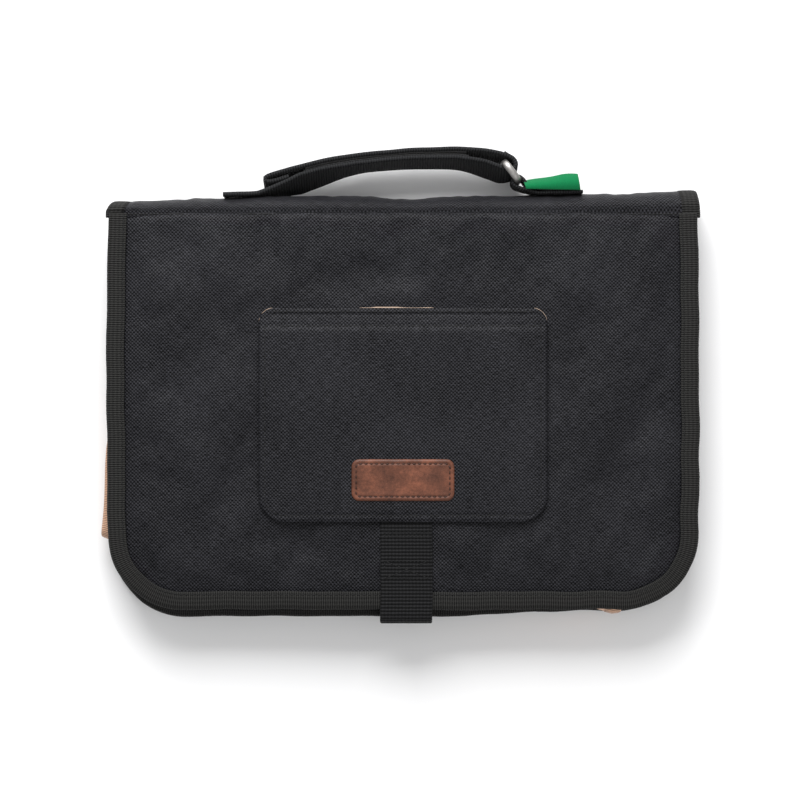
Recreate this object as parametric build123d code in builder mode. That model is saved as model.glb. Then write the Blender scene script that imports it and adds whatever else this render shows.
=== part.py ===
"""Fold-up nappy-changing clutch: a padded two-cover bag with a spine, handle, wipes flap,
closure strap and a folded changing mat inside.

Frame, in millimetres: the bag lies on its back cover. +X runs along its width, +Y towards
the spine and handle, +Z up through its thickness. The origin is the middle of the back
cover's outer face.
"""
import os
from math import asin, atan2, cos, degrees, hypot, radians, sin

from build123d import *

os.makedirs("parts", exist_ok=True)

# ---- driving dimensions ----
COVER_WIDTH = 342            # both covers, side to side
BACK_BOTTOM = -123           # bottom edge of the back cover
FRONT_BOTTOM = -117          # bottom edge of the front cover
SEAM_Y = 112                 # where both covers meet the spine
CORNER_R = 43                # bottom corners of both covers
THICKNESS = 34               # closed bag, outer face to outer face
CLOTH = 1.0                  # outer cloth and lining
FOAM = 2.0                   # padding in each cover
BINDING = 10.6               # grosgrain binding, folded over the edge
BINDING_LIP = 2.6            # how far the padding stays inside the folded edge
HINGE_GAP = 0.3              # bare stitch line between two pieces that fold on each other

SPINE_BULGE = 10             # spine crest beyond the seams
SPINE_CLOTH = 1.2
SPINE_LINING = 0.8
SPINE_WIDTH = 336
SPINE_HEIGHT = THICKNESS - 0.4

FLAP_WIDTH = 166
FLAP_TOP = 57
FLAP_BOTTOM = -66
FLAP_SEAM = 46.7             # stitch line that the flap folds on
FLAP_R = 15
FLAP_LINING_Z = THICKNESS + 1.8
FLAP_OUTER_Z = FLAP_LINING_Z + 0.6

WINDOW = (100, 50)           # opening that wet wipes are pulled through
WINDOW_Y = -5
WINDOW_R = 24
TRIM_WIDTH = 8
TRIM = 0.8

PATCH = (59, 24)
PATCH_Y = -42
PATCH_R = 4.6
PATCH_THICKNESS = 1.2
PATCH_EDGE = 0.4             # rounding of the patch's upper edge

HEADER_THICKNESS = 3.4       # the flap's sewn-down top, padding and turned edges together
PAD = (22, 12)               # hook or loop pad at each lower corner of the flap
PAD_CENTRE = (65, -54)
PAD_R = 1.5

WEB = 1.5                    # webbing thickness
TAPE = 0.8                   # hook or loop tape thickness
PEEL_GAP = 0.3               # clearance between fastened tapes

CLOSURE_WIDTH = 30
CLOSURE_X = 2
CLOSURE_TOP = -56
CLOSURE_BEND = -100          # last box stitch: the strap is free beyond it
CLOSURE_FACE = -125.1        # outer face where the strap hangs over the bottom edge
CLOSURE_END = 5              # height of the strap's free end
CLOSURE_R = 4
LANDING = 1.0                # thickness of the tab that the strap fastens to
LANDING_TOP = 24
LANDING_PAD_TOP = 22
LANDING_PAD_INSET = 2

HANDLE_WEB = 25              # handle webbing width
HANDLE_Z = SPINE_HEIGHT / 2
HANDLE_LEAN = 8              # how far the top edge leans towards the bag
HANDLE_APEX = (20, 142.5)    # highest point of the inner strap's middle line
HANDLE_R_LEFT = 317.8
HANDLE_R_RIGHT = 117.8
HANDLE_LEFT = -84
HANDLE_RIGHT = 54.5
TAIL_LEFT = -80
TAIL_TIP = 12                # bare webbing at the tail's end, to grip it by
ROOT_HALF = 0.8              # half height that the webbing narrows to where it meets the spine
ROOT_START = 0.9             # where the narrowing starts and ends, out from the anchors
ROOT_END = 13
ROOT_REACH = 40

RING_CENTRE = (62.6, 136)
RING_TURN = -56.8            # direction of the ring's short side, degrees from +X
RING_OUTER = (16.5, 32)
RING_WIRE = 3
RING_R = (5, 2)              # outer and inner corner radii

ANCHOR_LEFT = (-104, -65)
ANCHOR_RIGHT = (73, 104)
LABEL = (73, 103.5)
LABEL_REACH = 134.4
LABEL_Z = 27
LABEL_CLOTH = 0.7
LABEL_TUCK = 2.4             # how far the label is caught under the anchor
LABEL_RISE = 3               # how much taller its right end stands

MAT_LENGTH = 304
MAT_DEPTH = 180
MAT_TURN = -8                # the loose mat lies a little askew
MAT_CORNER = (-175, -77)
MAT_LEAF = 6.0
MAT_LEAVES = 3
MAT_GAP = 0.4
MAT_BASE = 4.3
MAT_TAPE = 1.5

BAND_WIDTH = 25
BAND_Z = 23.5
BAND_ENDS = (-108, 86)
BAND = 1.0

LINING_Z = THICKNESS - 2 * CLOTH - FOAM
ZIP_Y = 86
ZIP_HALF = 140               # half the length of the zip coil
ZIP_TAPE = 11.5
ZIP_TAPE_Z = LINING_Z - 0.6
COIL = (3, 0.8)              # width and height of the coil
SLIDER_X = 135
SLIDER = (10, 7.6)
PULL_LENGTH = 18
PULL_WIDTH = 3.4
PULL_PIN_Z = 26
SHEET_R = (12, 8)            # pocket corners, outside and inside its hem
POCKET = (150, -100, 74.5)   # half width, bottom and top of the zipped pocket panel


def save(piece, name):
    """Name a finished piece and write it."""
    piece.part.label = name
    export_step(piece.part, f"parts/{name}.step")


# ---- outlines ----
def cover_outline(inset, bottom, top=SEAM_Y, mode=Mode.ADD):
    """A cover's outline, drawn in from its sides and bottom; the seam side stays put."""
    half = COVER_WIDTH / 2 - inset
    low = bottom + inset
    with BuildLine() as outline:
        FilletPolyline((-half, top), (-half, low), (half, low), (half, top), radius=CORNER_R - inset)
        Line((half, top), (-half, top))
    make_face(outline.edges(), mode=mode)


def window_outline(grow, mode):
    """The wipes window, grown outwards all round."""
    with Locations((0, WINDOW_Y)):
        RectangleRounded(WINDOW[0] + 2 * grow, WINDOW[1] + 2 * grow, WINDOW_R + grow, mode=mode)


def flap_outline(top):
    """The flap's outline from its bottom edge up to a given line."""
    half = FLAP_WIDTH / 2
    with BuildLine() as outline:
        FilletPolyline((-half, top), (-half, FLAP_BOTTOM), (half, FLAP_BOTTOM), (half, top), radius=FLAP_R)
        Line((half, top), (-half, top))
    make_face(outline.edges())


# ---- covers: the same four layers, back and front ----
def cover_sheet(name, base, thickness, inset, bottom, top, window):
    """One flat layer of a cover."""
    with BuildPart() as sheet:
        with BuildSketch(Plane.XY.offset(base)):
            cover_outline(inset, bottom, top)
            if window:
                window_outline(0, Mode.SUBTRACT)
        extrude(amount=thickness)
    save(sheet, name)


def cover_binding(name, base, bottom, top):
    """The folded edge binding: two lips with the padding's edge held between them."""
    with BuildPart() as binding:
        with BuildSketch(Plane.XY.offset(base)):
            cover_outline(0, bottom, top)
            cover_outline(BINDING, bottom, top, mode=Mode.SUBTRACT)
        extrude(amount=2 * CLOTH + FOAM)
        with BuildSketch(Plane.XY.offset(base + CLOTH)):
            cover_outline(BINDING_LIP, bottom, top)
        extrude(amount=FOAM, mode=Mode.SUBTRACT)
    save(binding, name)


FRONT_TOP = SEAM_Y - HINGE_GAP
cover_sheet("back_outer", 0, CLOTH, BINDING, BACK_BOTTOM, SEAM_Y, False)
cover_sheet("back_foam", CLOTH, FOAM, BINDING_LIP, BACK_BOTTOM, SEAM_Y, False)
cover_sheet("back_lining", CLOTH + FOAM, CLOTH, BINDING, BACK_BOTTOM, SEAM_Y, False)
cover_binding("back_binding", 0, BACK_BOTTOM, SEAM_Y)
cover_sheet("front_lining", LINING_Z, CLOTH, BINDING, FRONT_BOTTOM, FRONT_TOP, True)
cover_sheet("front_foam", LINING_Z + CLOTH, FOAM, BINDING_LIP, FRONT_BOTTOM, FRONT_TOP, True)
cover_sheet("front_outer", THICKNESS - CLOTH, CLOTH, BINDING, FRONT_BOTTOM, FRONT_TOP, True)
cover_binding("front_binding", LINING_Z, FRONT_BOTTOM, FRONT_TOP)

# ---- spine: a curved strip that closes the bag's handle side ----
SPINE_R = ((SPINE_HEIGHT / 2) ** 2 + SPINE_BULGE ** 2) / (2 * SPINE_BULGE)
SPINE_CENTRE = (SEAM_Y + SPINE_BULGE - SPINE_R, SPINE_HEIGHT / 2)


def spine_strip(name, outer, inner, half_angle, x_range):
    """A strip that follows the spine's curve between two depths, extruded along X."""
    with BuildPart() as strip:
        with BuildSketch(Plane.YZ.offset(x_range[0])):
            with BuildLine():
                outside = CenterArc(SPINE_CENTRE, SPINE_R + outer, -half_angle, 2 * half_angle)
                inside = CenterArc(SPINE_CENTRE, SPINE_R + inner, -half_angle, 2 * half_angle)
                Line(outside @ 0, inside @ 0)
                Line(outside @ 1, inside @ 1)
            make_face()
        extrude(amount=x_range[1] - x_range[0])
        split(bisect_by=Plane.XZ.offset(-SEAM_Y), keep=Keep.BOTTOM)
    save(strip, name)


SPINE_HALF_ANGLE = degrees(asin(SPINE_HEIGHT / 2 / SPINE_R))
ANCHOR_HALF_ANGLE = degrees(asin(HANDLE_WEB / 2 / SPINE_R))
SPINE_SPAN = (-SPINE_WIDTH / 2, SPINE_WIDTH / 2)
spine_strip("spine_outer", 0, -SPINE_CLOTH, SPINE_HALF_ANGLE, SPINE_SPAN)
spine_strip("spine_lining", -SPINE_CLOTH, -SPINE_CLOTH - SPINE_LINING, SPINE_HALF_ANGLE, SPINE_SPAN)
spine_strip("handle_anchor_left", WEB, 0, ANCHOR_HALF_ANGLE, ANCHOR_LEFT)
spine_strip("handle_anchor_right", WEB, 0, ANCHOR_HALF_ANGLE, ANCHOR_RIGHT)

# ---- handle: an inner strap, a ring, and a tail folded back over the strap ----
CREST_Y = SEAM_Y + SPINE_BULGE + WEB
HANDLE_BASE_Z = HANDLE_Z - HANDLE_WEB / 2


def handle_band(inner, outer, left, right):
    """The face between two offsets of the handle's line: two arcs tangent at its apex."""
    apex_x, apex_y = HANDLE_APEX
    left_centre = (apex_x, apex_y - HANDLE_R_LEFT)
    right_centre = (apex_x, apex_y - HANDLE_R_RIGHT)
    left_sweep = degrees(asin((apex_x - left) / HANDLE_R_LEFT))
    right_sweep = degrees(asin((right - apex_x) / HANDLE_R_RIGHT))
    with BuildLine() as outline:
        ends = []
        for step in (inner, outer):
            west = CenterArc(left_centre, HANDLE_R_LEFT + step, 90, left_sweep)
            east = CenterArc(right_centre, HANDLE_R_RIGHT + step, 90, -right_sweep)
            ends.append((west @ 1, east @ 1))
        Line(ends[0][0], ends[1][0])
        Line(ends[0][1], ends[1][1])
    make_face(outline.edges())


def lean_extrude():
    """Raise a handle profile by the webbing's width, leaning towards the bag."""
    extrude(amount=hypot(HANDLE_LEAN, HANDLE_WEB), dir=(0, -HANDLE_LEAN, HANDLE_WEB))


def root_wedge():
    """Narrow the webbing where it twists at its roots, so that it clears the spine as it swings."""
    root, full, far = CREST_Y + ROOT_START, CREST_Y + ROOT_END, CREST_Y + ROOT_REACH
    half = HANDLE_WEB / 2
    with BuildSketch(Plane.YZ.offset(-COVER_WIDTH / 2)) as wedge:
        with BuildLine():
            Polyline(
                (root, HANDLE_Z - ROOT_HALF), (full, HANDLE_Z - half), (far, HANDLE_Z - half),
                (far, HANDLE_Z + half), (full, HANDLE_Z + half), (root, HANDLE_Z + ROOT_HALF), close=True,
            )
        make_face()
    extrude(wedge.sketch, amount=COVER_WIDTH, mode=Mode.INTERSECT)


HANDLE_PLANE = Plane((0, HANDLE_LEAN / 2, HANDLE_BASE_Z))
HANDLE_LAYERS = {
    "handle_strap": (-WEB / 2, WEB / 2, HANDLE_LEFT),
    "handle_loop_tape": (WEB / 2, WEB / 2 + TAPE, TAIL_LEFT + TAIL_TIP),
    "handle_hook_tape": (WEB / 2 + TAPE + PEEL_GAP, WEB / 2 + 2 * TAPE + PEEL_GAP, TAIL_LEFT + TAIL_TIP),
    "handle_tail": (WEB / 2 + 2 * TAPE + PEEL_GAP, 3 * WEB / 2 + 2 * TAPE + PEEL_GAP, TAIL_LEFT),
}
for layer_name, (layer_inner, layer_outer, layer_left) in HANDLE_LAYERS.items():
    with BuildPart() as handle_layer:
        with BuildSketch(HANDLE_PLANE):
            handle_band(layer_inner, layer_outer, layer_left, HANDLE_RIGHT)
        lean_extrude()
        root_wedge()
    save(handle_layer, layer_name)

RING_AXIS = (cos(radians(RING_TURN)), sin(radians(RING_TURN)))
RING_PLANE = Plane((*RING_CENTRE, HANDLE_Z), x_dir=(*RING_AXIS, 0), z_dir=(RING_AXIS[1], -RING_AXIS[0], 0))
with BuildPart() as handle_ring:
    with BuildSketch(RING_PLANE):
        RectangleRounded(*RING_OUTER, RING_R[0])
        RectangleRounded(
            RING_OUTER[0] - 2 * RING_WIRE, RING_OUTER[1] - 2 * RING_WIRE, RING_R[1], mode=Mode.SUBTRACT
        )
    extrude(amount=RING_WIRE / 2, both=True)
save(handle_ring, "handle_ring")

# The ring hangs in a short webbing loop beside the right anchor.
BAR_REACH = RING_OUTER[0] / 2 - RING_WIRE / 2
LOOP_START = (RING_CENTRE[0] + BAR_REACH * RING_AXIS[0], RING_CENTRE[1] + BAR_REACH * RING_AXIS[1])
LOOP_END = (69.3, CREST_Y + 4.6)
LOOP_HOLE = 4.6
LOOP_RUN = hypot(LOOP_END[0] - LOOP_START[0], LOOP_END[1] - LOOP_START[1])
LOOP_TURN = degrees(atan2(LOOP_END[1] - LOOP_START[1], LOOP_END[0] - LOOP_START[0]))
LOOP_MIDDLE = ((LOOP_START[0] + LOOP_END[0]) / 2, (LOOP_START[1] + LOOP_END[1]) / 2)
with BuildPart() as ring_loop:
    with BuildSketch(Plane.XY.offset(HANDLE_BASE_Z)):
        with Locations(LOOP_MIDDLE):
            SlotCenterToCenter(LOOP_RUN, LOOP_HOLE + 2 * TAPE, rotation=LOOP_TURN)
            SlotCenterToCenter(LOOP_RUN, LOOP_HOLE, rotation=LOOP_TURN, mode=Mode.SUBTRACT)
    extrude(amount=HANDLE_WEB)
    root_wedge()
save(ring_loop, "ring_loop")

with BuildPart() as side_label:
    with BuildSketch(Plane.XY.offset(LABEL_Z)):
        with BuildLine():
            Polyline(
                (LABEL[0], CREST_Y - LABEL_TUCK), (LABEL[1], CREST_Y - LABEL_TUCK),
                (LABEL[1], LABEL_REACH), (LABEL[0], LABEL_REACH - LABEL_RISE), close=True,
            )
        make_face()
    extrude(amount=LABEL_CLOTH)
save(side_label, "side_label")


# ---- flat pieces sewn on the covers ----
def plate(name, x_range, y_range, base, thickness, radius=1.0):
    """A flat rectangle of cloth, tape or leather with small rounded corners."""
    with BuildPart() as flat:
        with BuildSketch(Plane.XY.offset(base)):
            with Locations(((x_range[0] + x_range[1]) / 2, (y_range[0] + y_range[1]) / 2)):
                RectangleRounded(x_range[1] - x_range[0], y_range[1] - y_range[0], radius)
        extrude(amount=thickness)
    save(flat, name)


def twin_pads(name, base):
    """The two pads of tape at the flap's lower corners."""
    with BuildPart() as pair:
        with BuildSketch(Plane.XY.offset(base)):
            with Locations((-PAD_CENTRE[0], PAD_CENTRE[1]), PAD_CENTRE):
                RectangleRounded(*PAD, PAD_R)
        extrude(amount=TAPE)
    save(pair, name)


with BuildPart() as window_trim:
    with BuildSketch(Plane.XY.offset(THICKNESS)):
        window_outline(TRIM_WIDTH, Mode.ADD)
        window_outline(0, Mode.SUBTRACT)
    extrude(amount=TRIM)
save(window_trim, "window_trim")

HALF_FLAP = FLAP_WIDTH / 2
HOOK_Z = FLAP_LINING_Z - TAPE
plate("flap_header", (-HALF_FLAP, HALF_FLAP), (FLAP_SEAM + HINGE_GAP, FLAP_TOP), THICKNESS, HEADER_THICKNESS)
twin_pads("flap_loop_pads", THICKNESS)
twin_pads("flap_hook_pads", HOOK_Z)

for flap_name, flap_base, flap_cloth in (
    ("flap_lining", FLAP_LINING_Z, FLAP_OUTER_Z - FLAP_LINING_Z),
    ("flap_outer", FLAP_OUTER_Z, CLOTH),
):
    with BuildPart() as flap_layer:
        with BuildSketch(Plane.XY.offset(flap_base)):
            flap_outline(FLAP_SEAM - HINGE_GAP)
        extrude(amount=flap_cloth)
    save(flap_layer, flap_name)

with BuildPart() as leather_patch:
    with BuildSketch(Plane.XY.offset(FLAP_OUTER_Z + CLOTH)):
        with Locations((0, PATCH_Y)):
            RectangleRounded(*PATCH, PATCH_R)
    extrude(amount=PATCH_THICKNESS)
    fillet(leather_patch.faces().sort_by(Axis.Z)[-1].edges(), PATCH_EDGE)
save(leather_patch, "leather_patch")

# ---- closure strap: sewn to the front cover, its free end hangs over the bottom edge ----
STRAP_X = (CLOSURE_X - CLOSURE_WIDTH / 2, CLOSURE_X + CLOSURE_WIDTH / 2)
STRAP_Z = THICKNESS + PEEL_GAP
plate("closure_strap_base", STRAP_X, (CLOSURE_BEND, CLOSURE_TOP), THICKNESS, WEB, 0.5)

with BuildPart() as closure_strap_tail:
    with BuildSketch(Plane.YZ.offset(STRAP_X[0])):
        with BuildLine():
            outside = FilletPolyline(
                (CLOSURE_BEND - HINGE_GAP, STRAP_Z + WEB), (CLOSURE_FACE, STRAP_Z + WEB),
                (CLOSURE_FACE, CLOSURE_END), radius=CLOSURE_R,
            )
            inside = FilletPolyline(
                (CLOSURE_BEND - HINGE_GAP, STRAP_Z), (CLOSURE_FACE + WEB, STRAP_Z),
                (CLOSURE_FACE + WEB, CLOSURE_END), radius=CLOSURE_R - WEB,
            )
            Line(outside @ 0, inside @ 0)
            Line(outside @ 1, inside @ 1)
        make_face()
    extrude(amount=CLOSURE_WIDTH)
save(closure_strap_tail, "closure_strap_tail")


def upright_plate(name, inner_y, thickness, low, high, inset):
    """A tape or tab that stands across the bag's bottom edge, under the closure strap."""
    with BuildPart() as upright:
        with BuildSketch(Plane.XY.offset(low)):
            with Locations((CLOSURE_X, inner_y - thickness / 2)):
                Rectangle(CLOSURE_WIDTH - 2 * inset, thickness)
        extrude(amount=high - low)
    save(upright, name)


TAB_Y = CLOSURE_FACE + WEB + 2 * TAPE + PEEL_GAP + LANDING
COVER_DEPTH = 2 * CLOTH + FOAM
PAD_SPAN = (COVER_DEPTH + LANDING_PAD_INSET, LANDING_PAD_TOP, LANDING_PAD_INSET)
upright_plate("closure_landing_tab", TAB_Y, LANDING, COVER_DEPTH, LANDING_TOP, 0)
upright_plate("closure_loop_pad", TAB_Y - LANDING, TAPE, *PAD_SPAN)
upright_plate("closure_hook_pad", CLOSURE_FACE + WEB + TAPE, TAPE, *PAD_SPAN)

# ---- changing mat: one padded sheet folded in a zigzag, loose in the bag ----
MAT_ALONG = (cos(radians(MAT_TURN)), sin(radians(MAT_TURN)), 0)
MAT_PLANE = Plane((*MAT_CORNER, 0), x_dir=MAT_ALONG, z_dir=(0, 0, 1))
MAT_SECTION = Plane(MAT_PLANE.origin, x_dir=MAT_PLANE.y_dir, z_dir=MAT_PLANE.x_dir)
MAT_PITCH = MAT_LEAF + MAT_GAP


def mat_length(name, start, run, swell):
    """A length of the folded mat: leaves joined by half-round folds on alternate sides."""
    fold_r = MAT_PITCH / 2 + MAT_LEAF / 2
    with BuildPart() as mat_run:
        with BuildSketch(MAT_SECTION.offset(start)):
            for leaf in range(MAT_LEAVES):
                with Locations((MAT_DEPTH / 2, MAT_BASE + MAT_LEAF / 2 + leaf * MAT_PITCH)):
                    Rectangle(MAT_DEPTH - 2 * fold_r, MAT_LEAF + 2 * swell)
            for fold in range(MAT_LEAVES - 1):
                side = 1 if fold % 2 == 0 else -1
                centre = (
                    MAT_DEPTH / 2 + side * (MAT_DEPTH / 2 - fold_r),
                    MAT_BASE + MAT_LEAF + MAT_GAP / 2 + fold * MAT_PITCH,
                )
                with BuildLine():
                    outside = CenterArc(centre, fold_r + swell, -90 * side, 180 * side)
                    inside = CenterArc(centre, MAT_GAP / 2 - swell, -90 * side, 180 * side)
                    Line(outside @ 0, inside @ 0)
                    Line(outside @ 1, inside @ 1)
                make_face()
        extrude(amount=run)
    save(mat_run, name)


mat_length("changing_mat", MAT_TAPE, MAT_LENGTH - 2 * MAT_TAPE, 0)
mat_length("mat_tape_left", 0, MAT_TAPE, 0.1)
mat_length("mat_tape_right", MAT_LENGTH - MAT_TAPE, MAT_TAPE, 0.1)

with BuildPart() as mat_band:
    with BuildSketch(Plane.YZ.offset(-BAND_WIDTH / 2)):
        with BuildLine():
            Polyline(
                (BAND_ENDS[0], COVER_DEPTH), (BAND_ENDS[0], BAND_Z + BAND),
                (BAND_ENDS[1], BAND_Z + BAND), (BAND_ENDS[1], COVER_DEPTH),
                (BAND_ENDS[1] - BAND, COVER_DEPTH), (BAND_ENDS[1] - BAND, BAND_Z),
                (BAND_ENDS[0] + BAND, BAND_Z), (BAND_ENDS[0] + BAND, COVER_DEPTH), close=True,
            )
        make_face()
    extrude(amount=BAND_WIDTH)
save(mat_band, "mat_band")

# ---- zipped wipes pocket inside the front cover ----
POCKET_SHEET = 0.8
POCKET_Z = LINING_Z - POCKET_SHEET - 0.4
POCKET_HEM = 6
with BuildPart() as wipes_pocket:
    with BuildSketch(Plane.XY.offset(POCKET_Z)):
        with Locations((0, (POCKET[1] + POCKET[2]) / 2)):
            RectangleRounded(2 * POCKET[0], POCKET[2] - POCKET[1], SHEET_R[0])
    extrude(amount=LINING_Z - POCKET_Z)
    with BuildSketch(Plane.XY.offset(POCKET_Z + POCKET_SHEET)):
        with Locations((0, (POCKET[1] + POCKET[2]) / 2)):
            RectangleRounded(2 * (POCKET[0] - POCKET_HEM), POCKET[2] - POCKET[1] - 2 * POCKET_HEM, SHEET_R[1])
    extrude(amount=LINING_Z - POCKET_Z - POCKET_SHEET, mode=Mode.SUBTRACT)
save(wipes_pocket, "wipes_pocket")

ZIP_END = ZIP_HALF + 8
TAPE_GAP = 0.2
ZIP_CLOTH = (0.6, 0.4)       # zip tape thickness and corner radius
plate("zip_tape_lower", (-ZIP_END, ZIP_END), (ZIP_Y - ZIP_TAPE, ZIP_Y - TAPE_GAP), ZIP_TAPE_Z, *ZIP_CLOTH)
plate("zip_tape_upper", (-ZIP_END, ZIP_END), (ZIP_Y + TAPE_GAP, ZIP_Y + ZIP_TAPE), ZIP_TAPE_Z, *ZIP_CLOTH)
COIL_Z = ZIP_TAPE_Z - COIL[1]
STOP = (2.5, 4.4, 1.6)       # a crimped stop's length, width and height
STOP_PLACES = (-ZIP_HALF - 1.6, ZIP_HALF + 3.2)
plate("zip_coil", (-ZIP_HALF, ZIP_HALF), (ZIP_Y - COIL[0] / 2, ZIP_Y + COIL[0] / 2), COIL_Z, COIL[1], 0.3)
with BuildPart() as zip_stops:
    with BuildSketch(Plane.XY.offset(ZIP_TAPE_Z - STOP[2])):
        with Locations(*[(place, ZIP_Y) for place in STOP_PLACES]):
            RectangleRounded(STOP[0], STOP[1], 0.5)
    extrude(amount=STOP[2])
save(zip_stops, "zip_stops")

# The slider straddles the coil, and its pull turns on a pin between two lugs.
SLIDER_PLATE = 1.0
RUN_CLEAR = 0.3
FLANGE = 1.6
LUG = (3.0, 1.2)
PIN_R = 0.5
KNUCKLE_R = 1.0
PLATE_TOP = COIL_Z - RUN_CLEAR
PLATE_LOW = PLATE_TOP - SLIDER_PLATE
LUG_Y = PULL_WIDTH / 2 + 0.2 + LUG[1] / 2
with BuildPart() as zip_slider:
    with BuildSketch(Plane.XY.offset(PLATE_LOW)):
        with Locations((SLIDER_X, ZIP_Y)):
            RectangleRounded(*SLIDER, 2)
    extrude(amount=SLIDER_PLATE)
    with BuildSketch(Plane.XY.offset(PLATE_TOP)):
        with Locations(*[(SLIDER_X, ZIP_Y + side * (SLIDER[1] - FLANGE) / 2) for side in (-1, 1)]):
            RectangleRounded(SLIDER[0] - 3, FLANGE, 0.6)
    extrude(amount=COIL[1])
    with BuildSketch(Plane.XY.offset(PULL_PIN_Z - KNUCKLE_R)):
        with Locations(*[(SLIDER_X, ZIP_Y + side * LUG_Y) for side in (-1, 1)]):
            Rectangle(*LUG)
    extrude(amount=PLATE_LOW - PULL_PIN_Z + KNUCKLE_R)
    with BuildSketch(Plane.XZ.offset(-ZIP_Y - LUG_Y)):
        with Locations((SLIDER_X, PULL_PIN_Z)):
            Circle(PIN_R)
    extrude(amount=2 * LUG_Y)
save(zip_slider, "zip_slider")

PULL_TAB = 0.8
with BuildPart() as zip_pull:
    with BuildSketch(Plane.XY.offset(PULL_PIN_Z - PULL_TAB / 2)):
        with Locations((SLIDER_X - PULL_LENGTH / 2, ZIP_Y)):
            RectangleRounded(PULL_LENGTH, PULL_WIDTH, 1.2)
    extrude(amount=PULL_TAB)
    with BuildSketch(Plane.XZ.offset(-ZIP_Y - PULL_WIDTH / 2)):
        with Locations((SLIDER_X, PULL_PIN_Z)):
            Circle(KNUCKLE_R)
    extrude(amount=PULL_WIDTH)
    with BuildSketch(Plane.XZ.offset(-ZIP_Y - PULL_WIDTH / 2)):
        with Locations((SLIDER_X, PULL_PIN_Z)):
            Circle(PIN_R + 0.05)
    extrude(amount=PULL_WIDTH, mode=Mode.SUBTRACT)
save(zip_pull, "zip_pull")
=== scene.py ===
"""Looks of a fold-up changing clutch: cloth covers, bindings, webbing, leather, mat and zip.

Shapes are worked out in millimetres in the CAD frame (+X width, +Y towards the handle, +Z up)
and scaled to metres when a mesh is made.
"""

import math

import bmesh
import bpy
import numpy as np
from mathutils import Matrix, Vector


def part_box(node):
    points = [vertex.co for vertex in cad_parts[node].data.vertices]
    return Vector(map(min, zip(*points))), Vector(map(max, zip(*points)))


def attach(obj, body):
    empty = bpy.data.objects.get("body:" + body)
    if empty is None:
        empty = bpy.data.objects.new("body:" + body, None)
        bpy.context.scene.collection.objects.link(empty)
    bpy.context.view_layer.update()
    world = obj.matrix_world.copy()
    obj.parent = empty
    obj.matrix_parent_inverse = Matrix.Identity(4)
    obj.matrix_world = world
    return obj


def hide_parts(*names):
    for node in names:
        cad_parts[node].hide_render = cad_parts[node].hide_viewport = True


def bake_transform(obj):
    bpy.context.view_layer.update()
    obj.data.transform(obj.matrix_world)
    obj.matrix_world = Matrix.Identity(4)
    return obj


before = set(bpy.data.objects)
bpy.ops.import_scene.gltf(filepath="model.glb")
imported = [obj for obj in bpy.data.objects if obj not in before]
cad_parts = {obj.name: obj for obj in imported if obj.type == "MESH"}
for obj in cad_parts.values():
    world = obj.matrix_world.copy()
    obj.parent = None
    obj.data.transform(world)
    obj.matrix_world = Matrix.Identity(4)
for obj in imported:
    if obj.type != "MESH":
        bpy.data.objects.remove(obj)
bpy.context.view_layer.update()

MM = 0.001
UP = np.array([0.0, 0.0, 1.0])

# ---- places, read from the CAD frame ----


def cad(node):
    """A CAD node's lowest and highest corner, in millimetres."""
    low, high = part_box(node)
    return np.array(low) / MM, np.array(high) / MM


FRONT_LOW, FRONT_HIGH = cad("front_binding")
BACK_LOW, BACK_HIGH = cad("back_binding")
HALF_WIDTH = BACK_HIGH[0]
SEAM_Y = BACK_HIGH[1]
FRONT_BOTTOM = FRONT_LOW[1]
BACK_BOTTOM = BACK_LOW[1]
TOP_Z = FRONT_HIGH[2]
INNER_TOP_Z = FRONT_LOW[2]
INNER_BACK_Z = BACK_HIGH[2]
CORNER_R = 43.0
BINDING = 10.6
SPINE_Z = (TOP_Z - 0.4) / 2
FLAP_LOW, FLAP_HIGH = cad("flap_outer")
HEADER_HIGH = cad("flap_header")[1]
FLAP_SEAM = 46.7
STRAP_LOW, STRAP_HIGH = cad("closure_strap_tail")
STRAP_X = (STRAP_LOW[0] + STRAP_HIGH[0]) / 2
PATCH_LOW, PATCH_HIGH = cad("leather_patch")
TRIM_LOW, TRIM_HIGH = cad("window_trim")
TRIM = 8.0
WINDOW_HALF = (TRIM_HIGH[0] - TRIM, (TRIM_HIGH[1] - TRIM_LOW[1]) / 2 - TRIM)
WINDOW_Y = (TRIM_HIGH[1] + TRIM_LOW[1]) / 2
WINDOW_R = 24.0


# ---- mesh helpers ----
def ripple(x, y, scale, seed, waves=7):
    """Smooth seeded unevenness, about -1 to 1, with features about as long as scale."""
    rng = np.random.default_rng(seed)
    total = np.zeros(np.broadcast(x, y).shape)
    for _ in range(waves):
        turn, phase = rng.uniform(0, 2 * math.pi, 2)
        size = 2 * math.pi / scale * rng.uniform(0.6, 1.6)
        total = total + np.cos(size * (x * math.cos(turn) + y * math.sin(turn)) + phase)
    return total / math.sqrt(waves * 2)


def bump(x, centre, width):
    """A smooth hump of height 1."""
    return np.exp(-(((x - centre) / width) ** 2))


def smooth(t):
    """Ease from 0 to 1 as t goes from 0 to 1."""
    t = np.clip(t, 0, 1)
    return t * t * (3 - 2 * t)


def add_mesh(name, points, faces, uvs=None):
    """A smooth-shaded mesh object from points in millimetres."""
    mesh = bpy.data.meshes.new(name)
    mesh.from_pydata((np.asarray(points, float) * MM).tolist(), [], faces)
    mesh.polygons.foreach_set("use_smooth", [True] * len(mesh.polygons))
    if uvs is not None:
        layer = mesh.uv_layers.new(name="UVMap")
        corner = np.empty(len(mesh.loops), np.int32)
        mesh.loops.foreach_get("vertex_index", corner)
        layer.data.foreach_set("uv", np.asarray(uvs, np.float32)[corner].ravel())
    mesh.update()
    piece = bpy.data.objects.new(name, mesh)
    bpy.context.scene.collection.objects.link(piece)
    return piece


def at(x, y, z):
    """Points from their coordinates, each a grid or one number."""
    return np.stack(np.broadcast_arrays(x, y, z), axis=-1)


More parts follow.
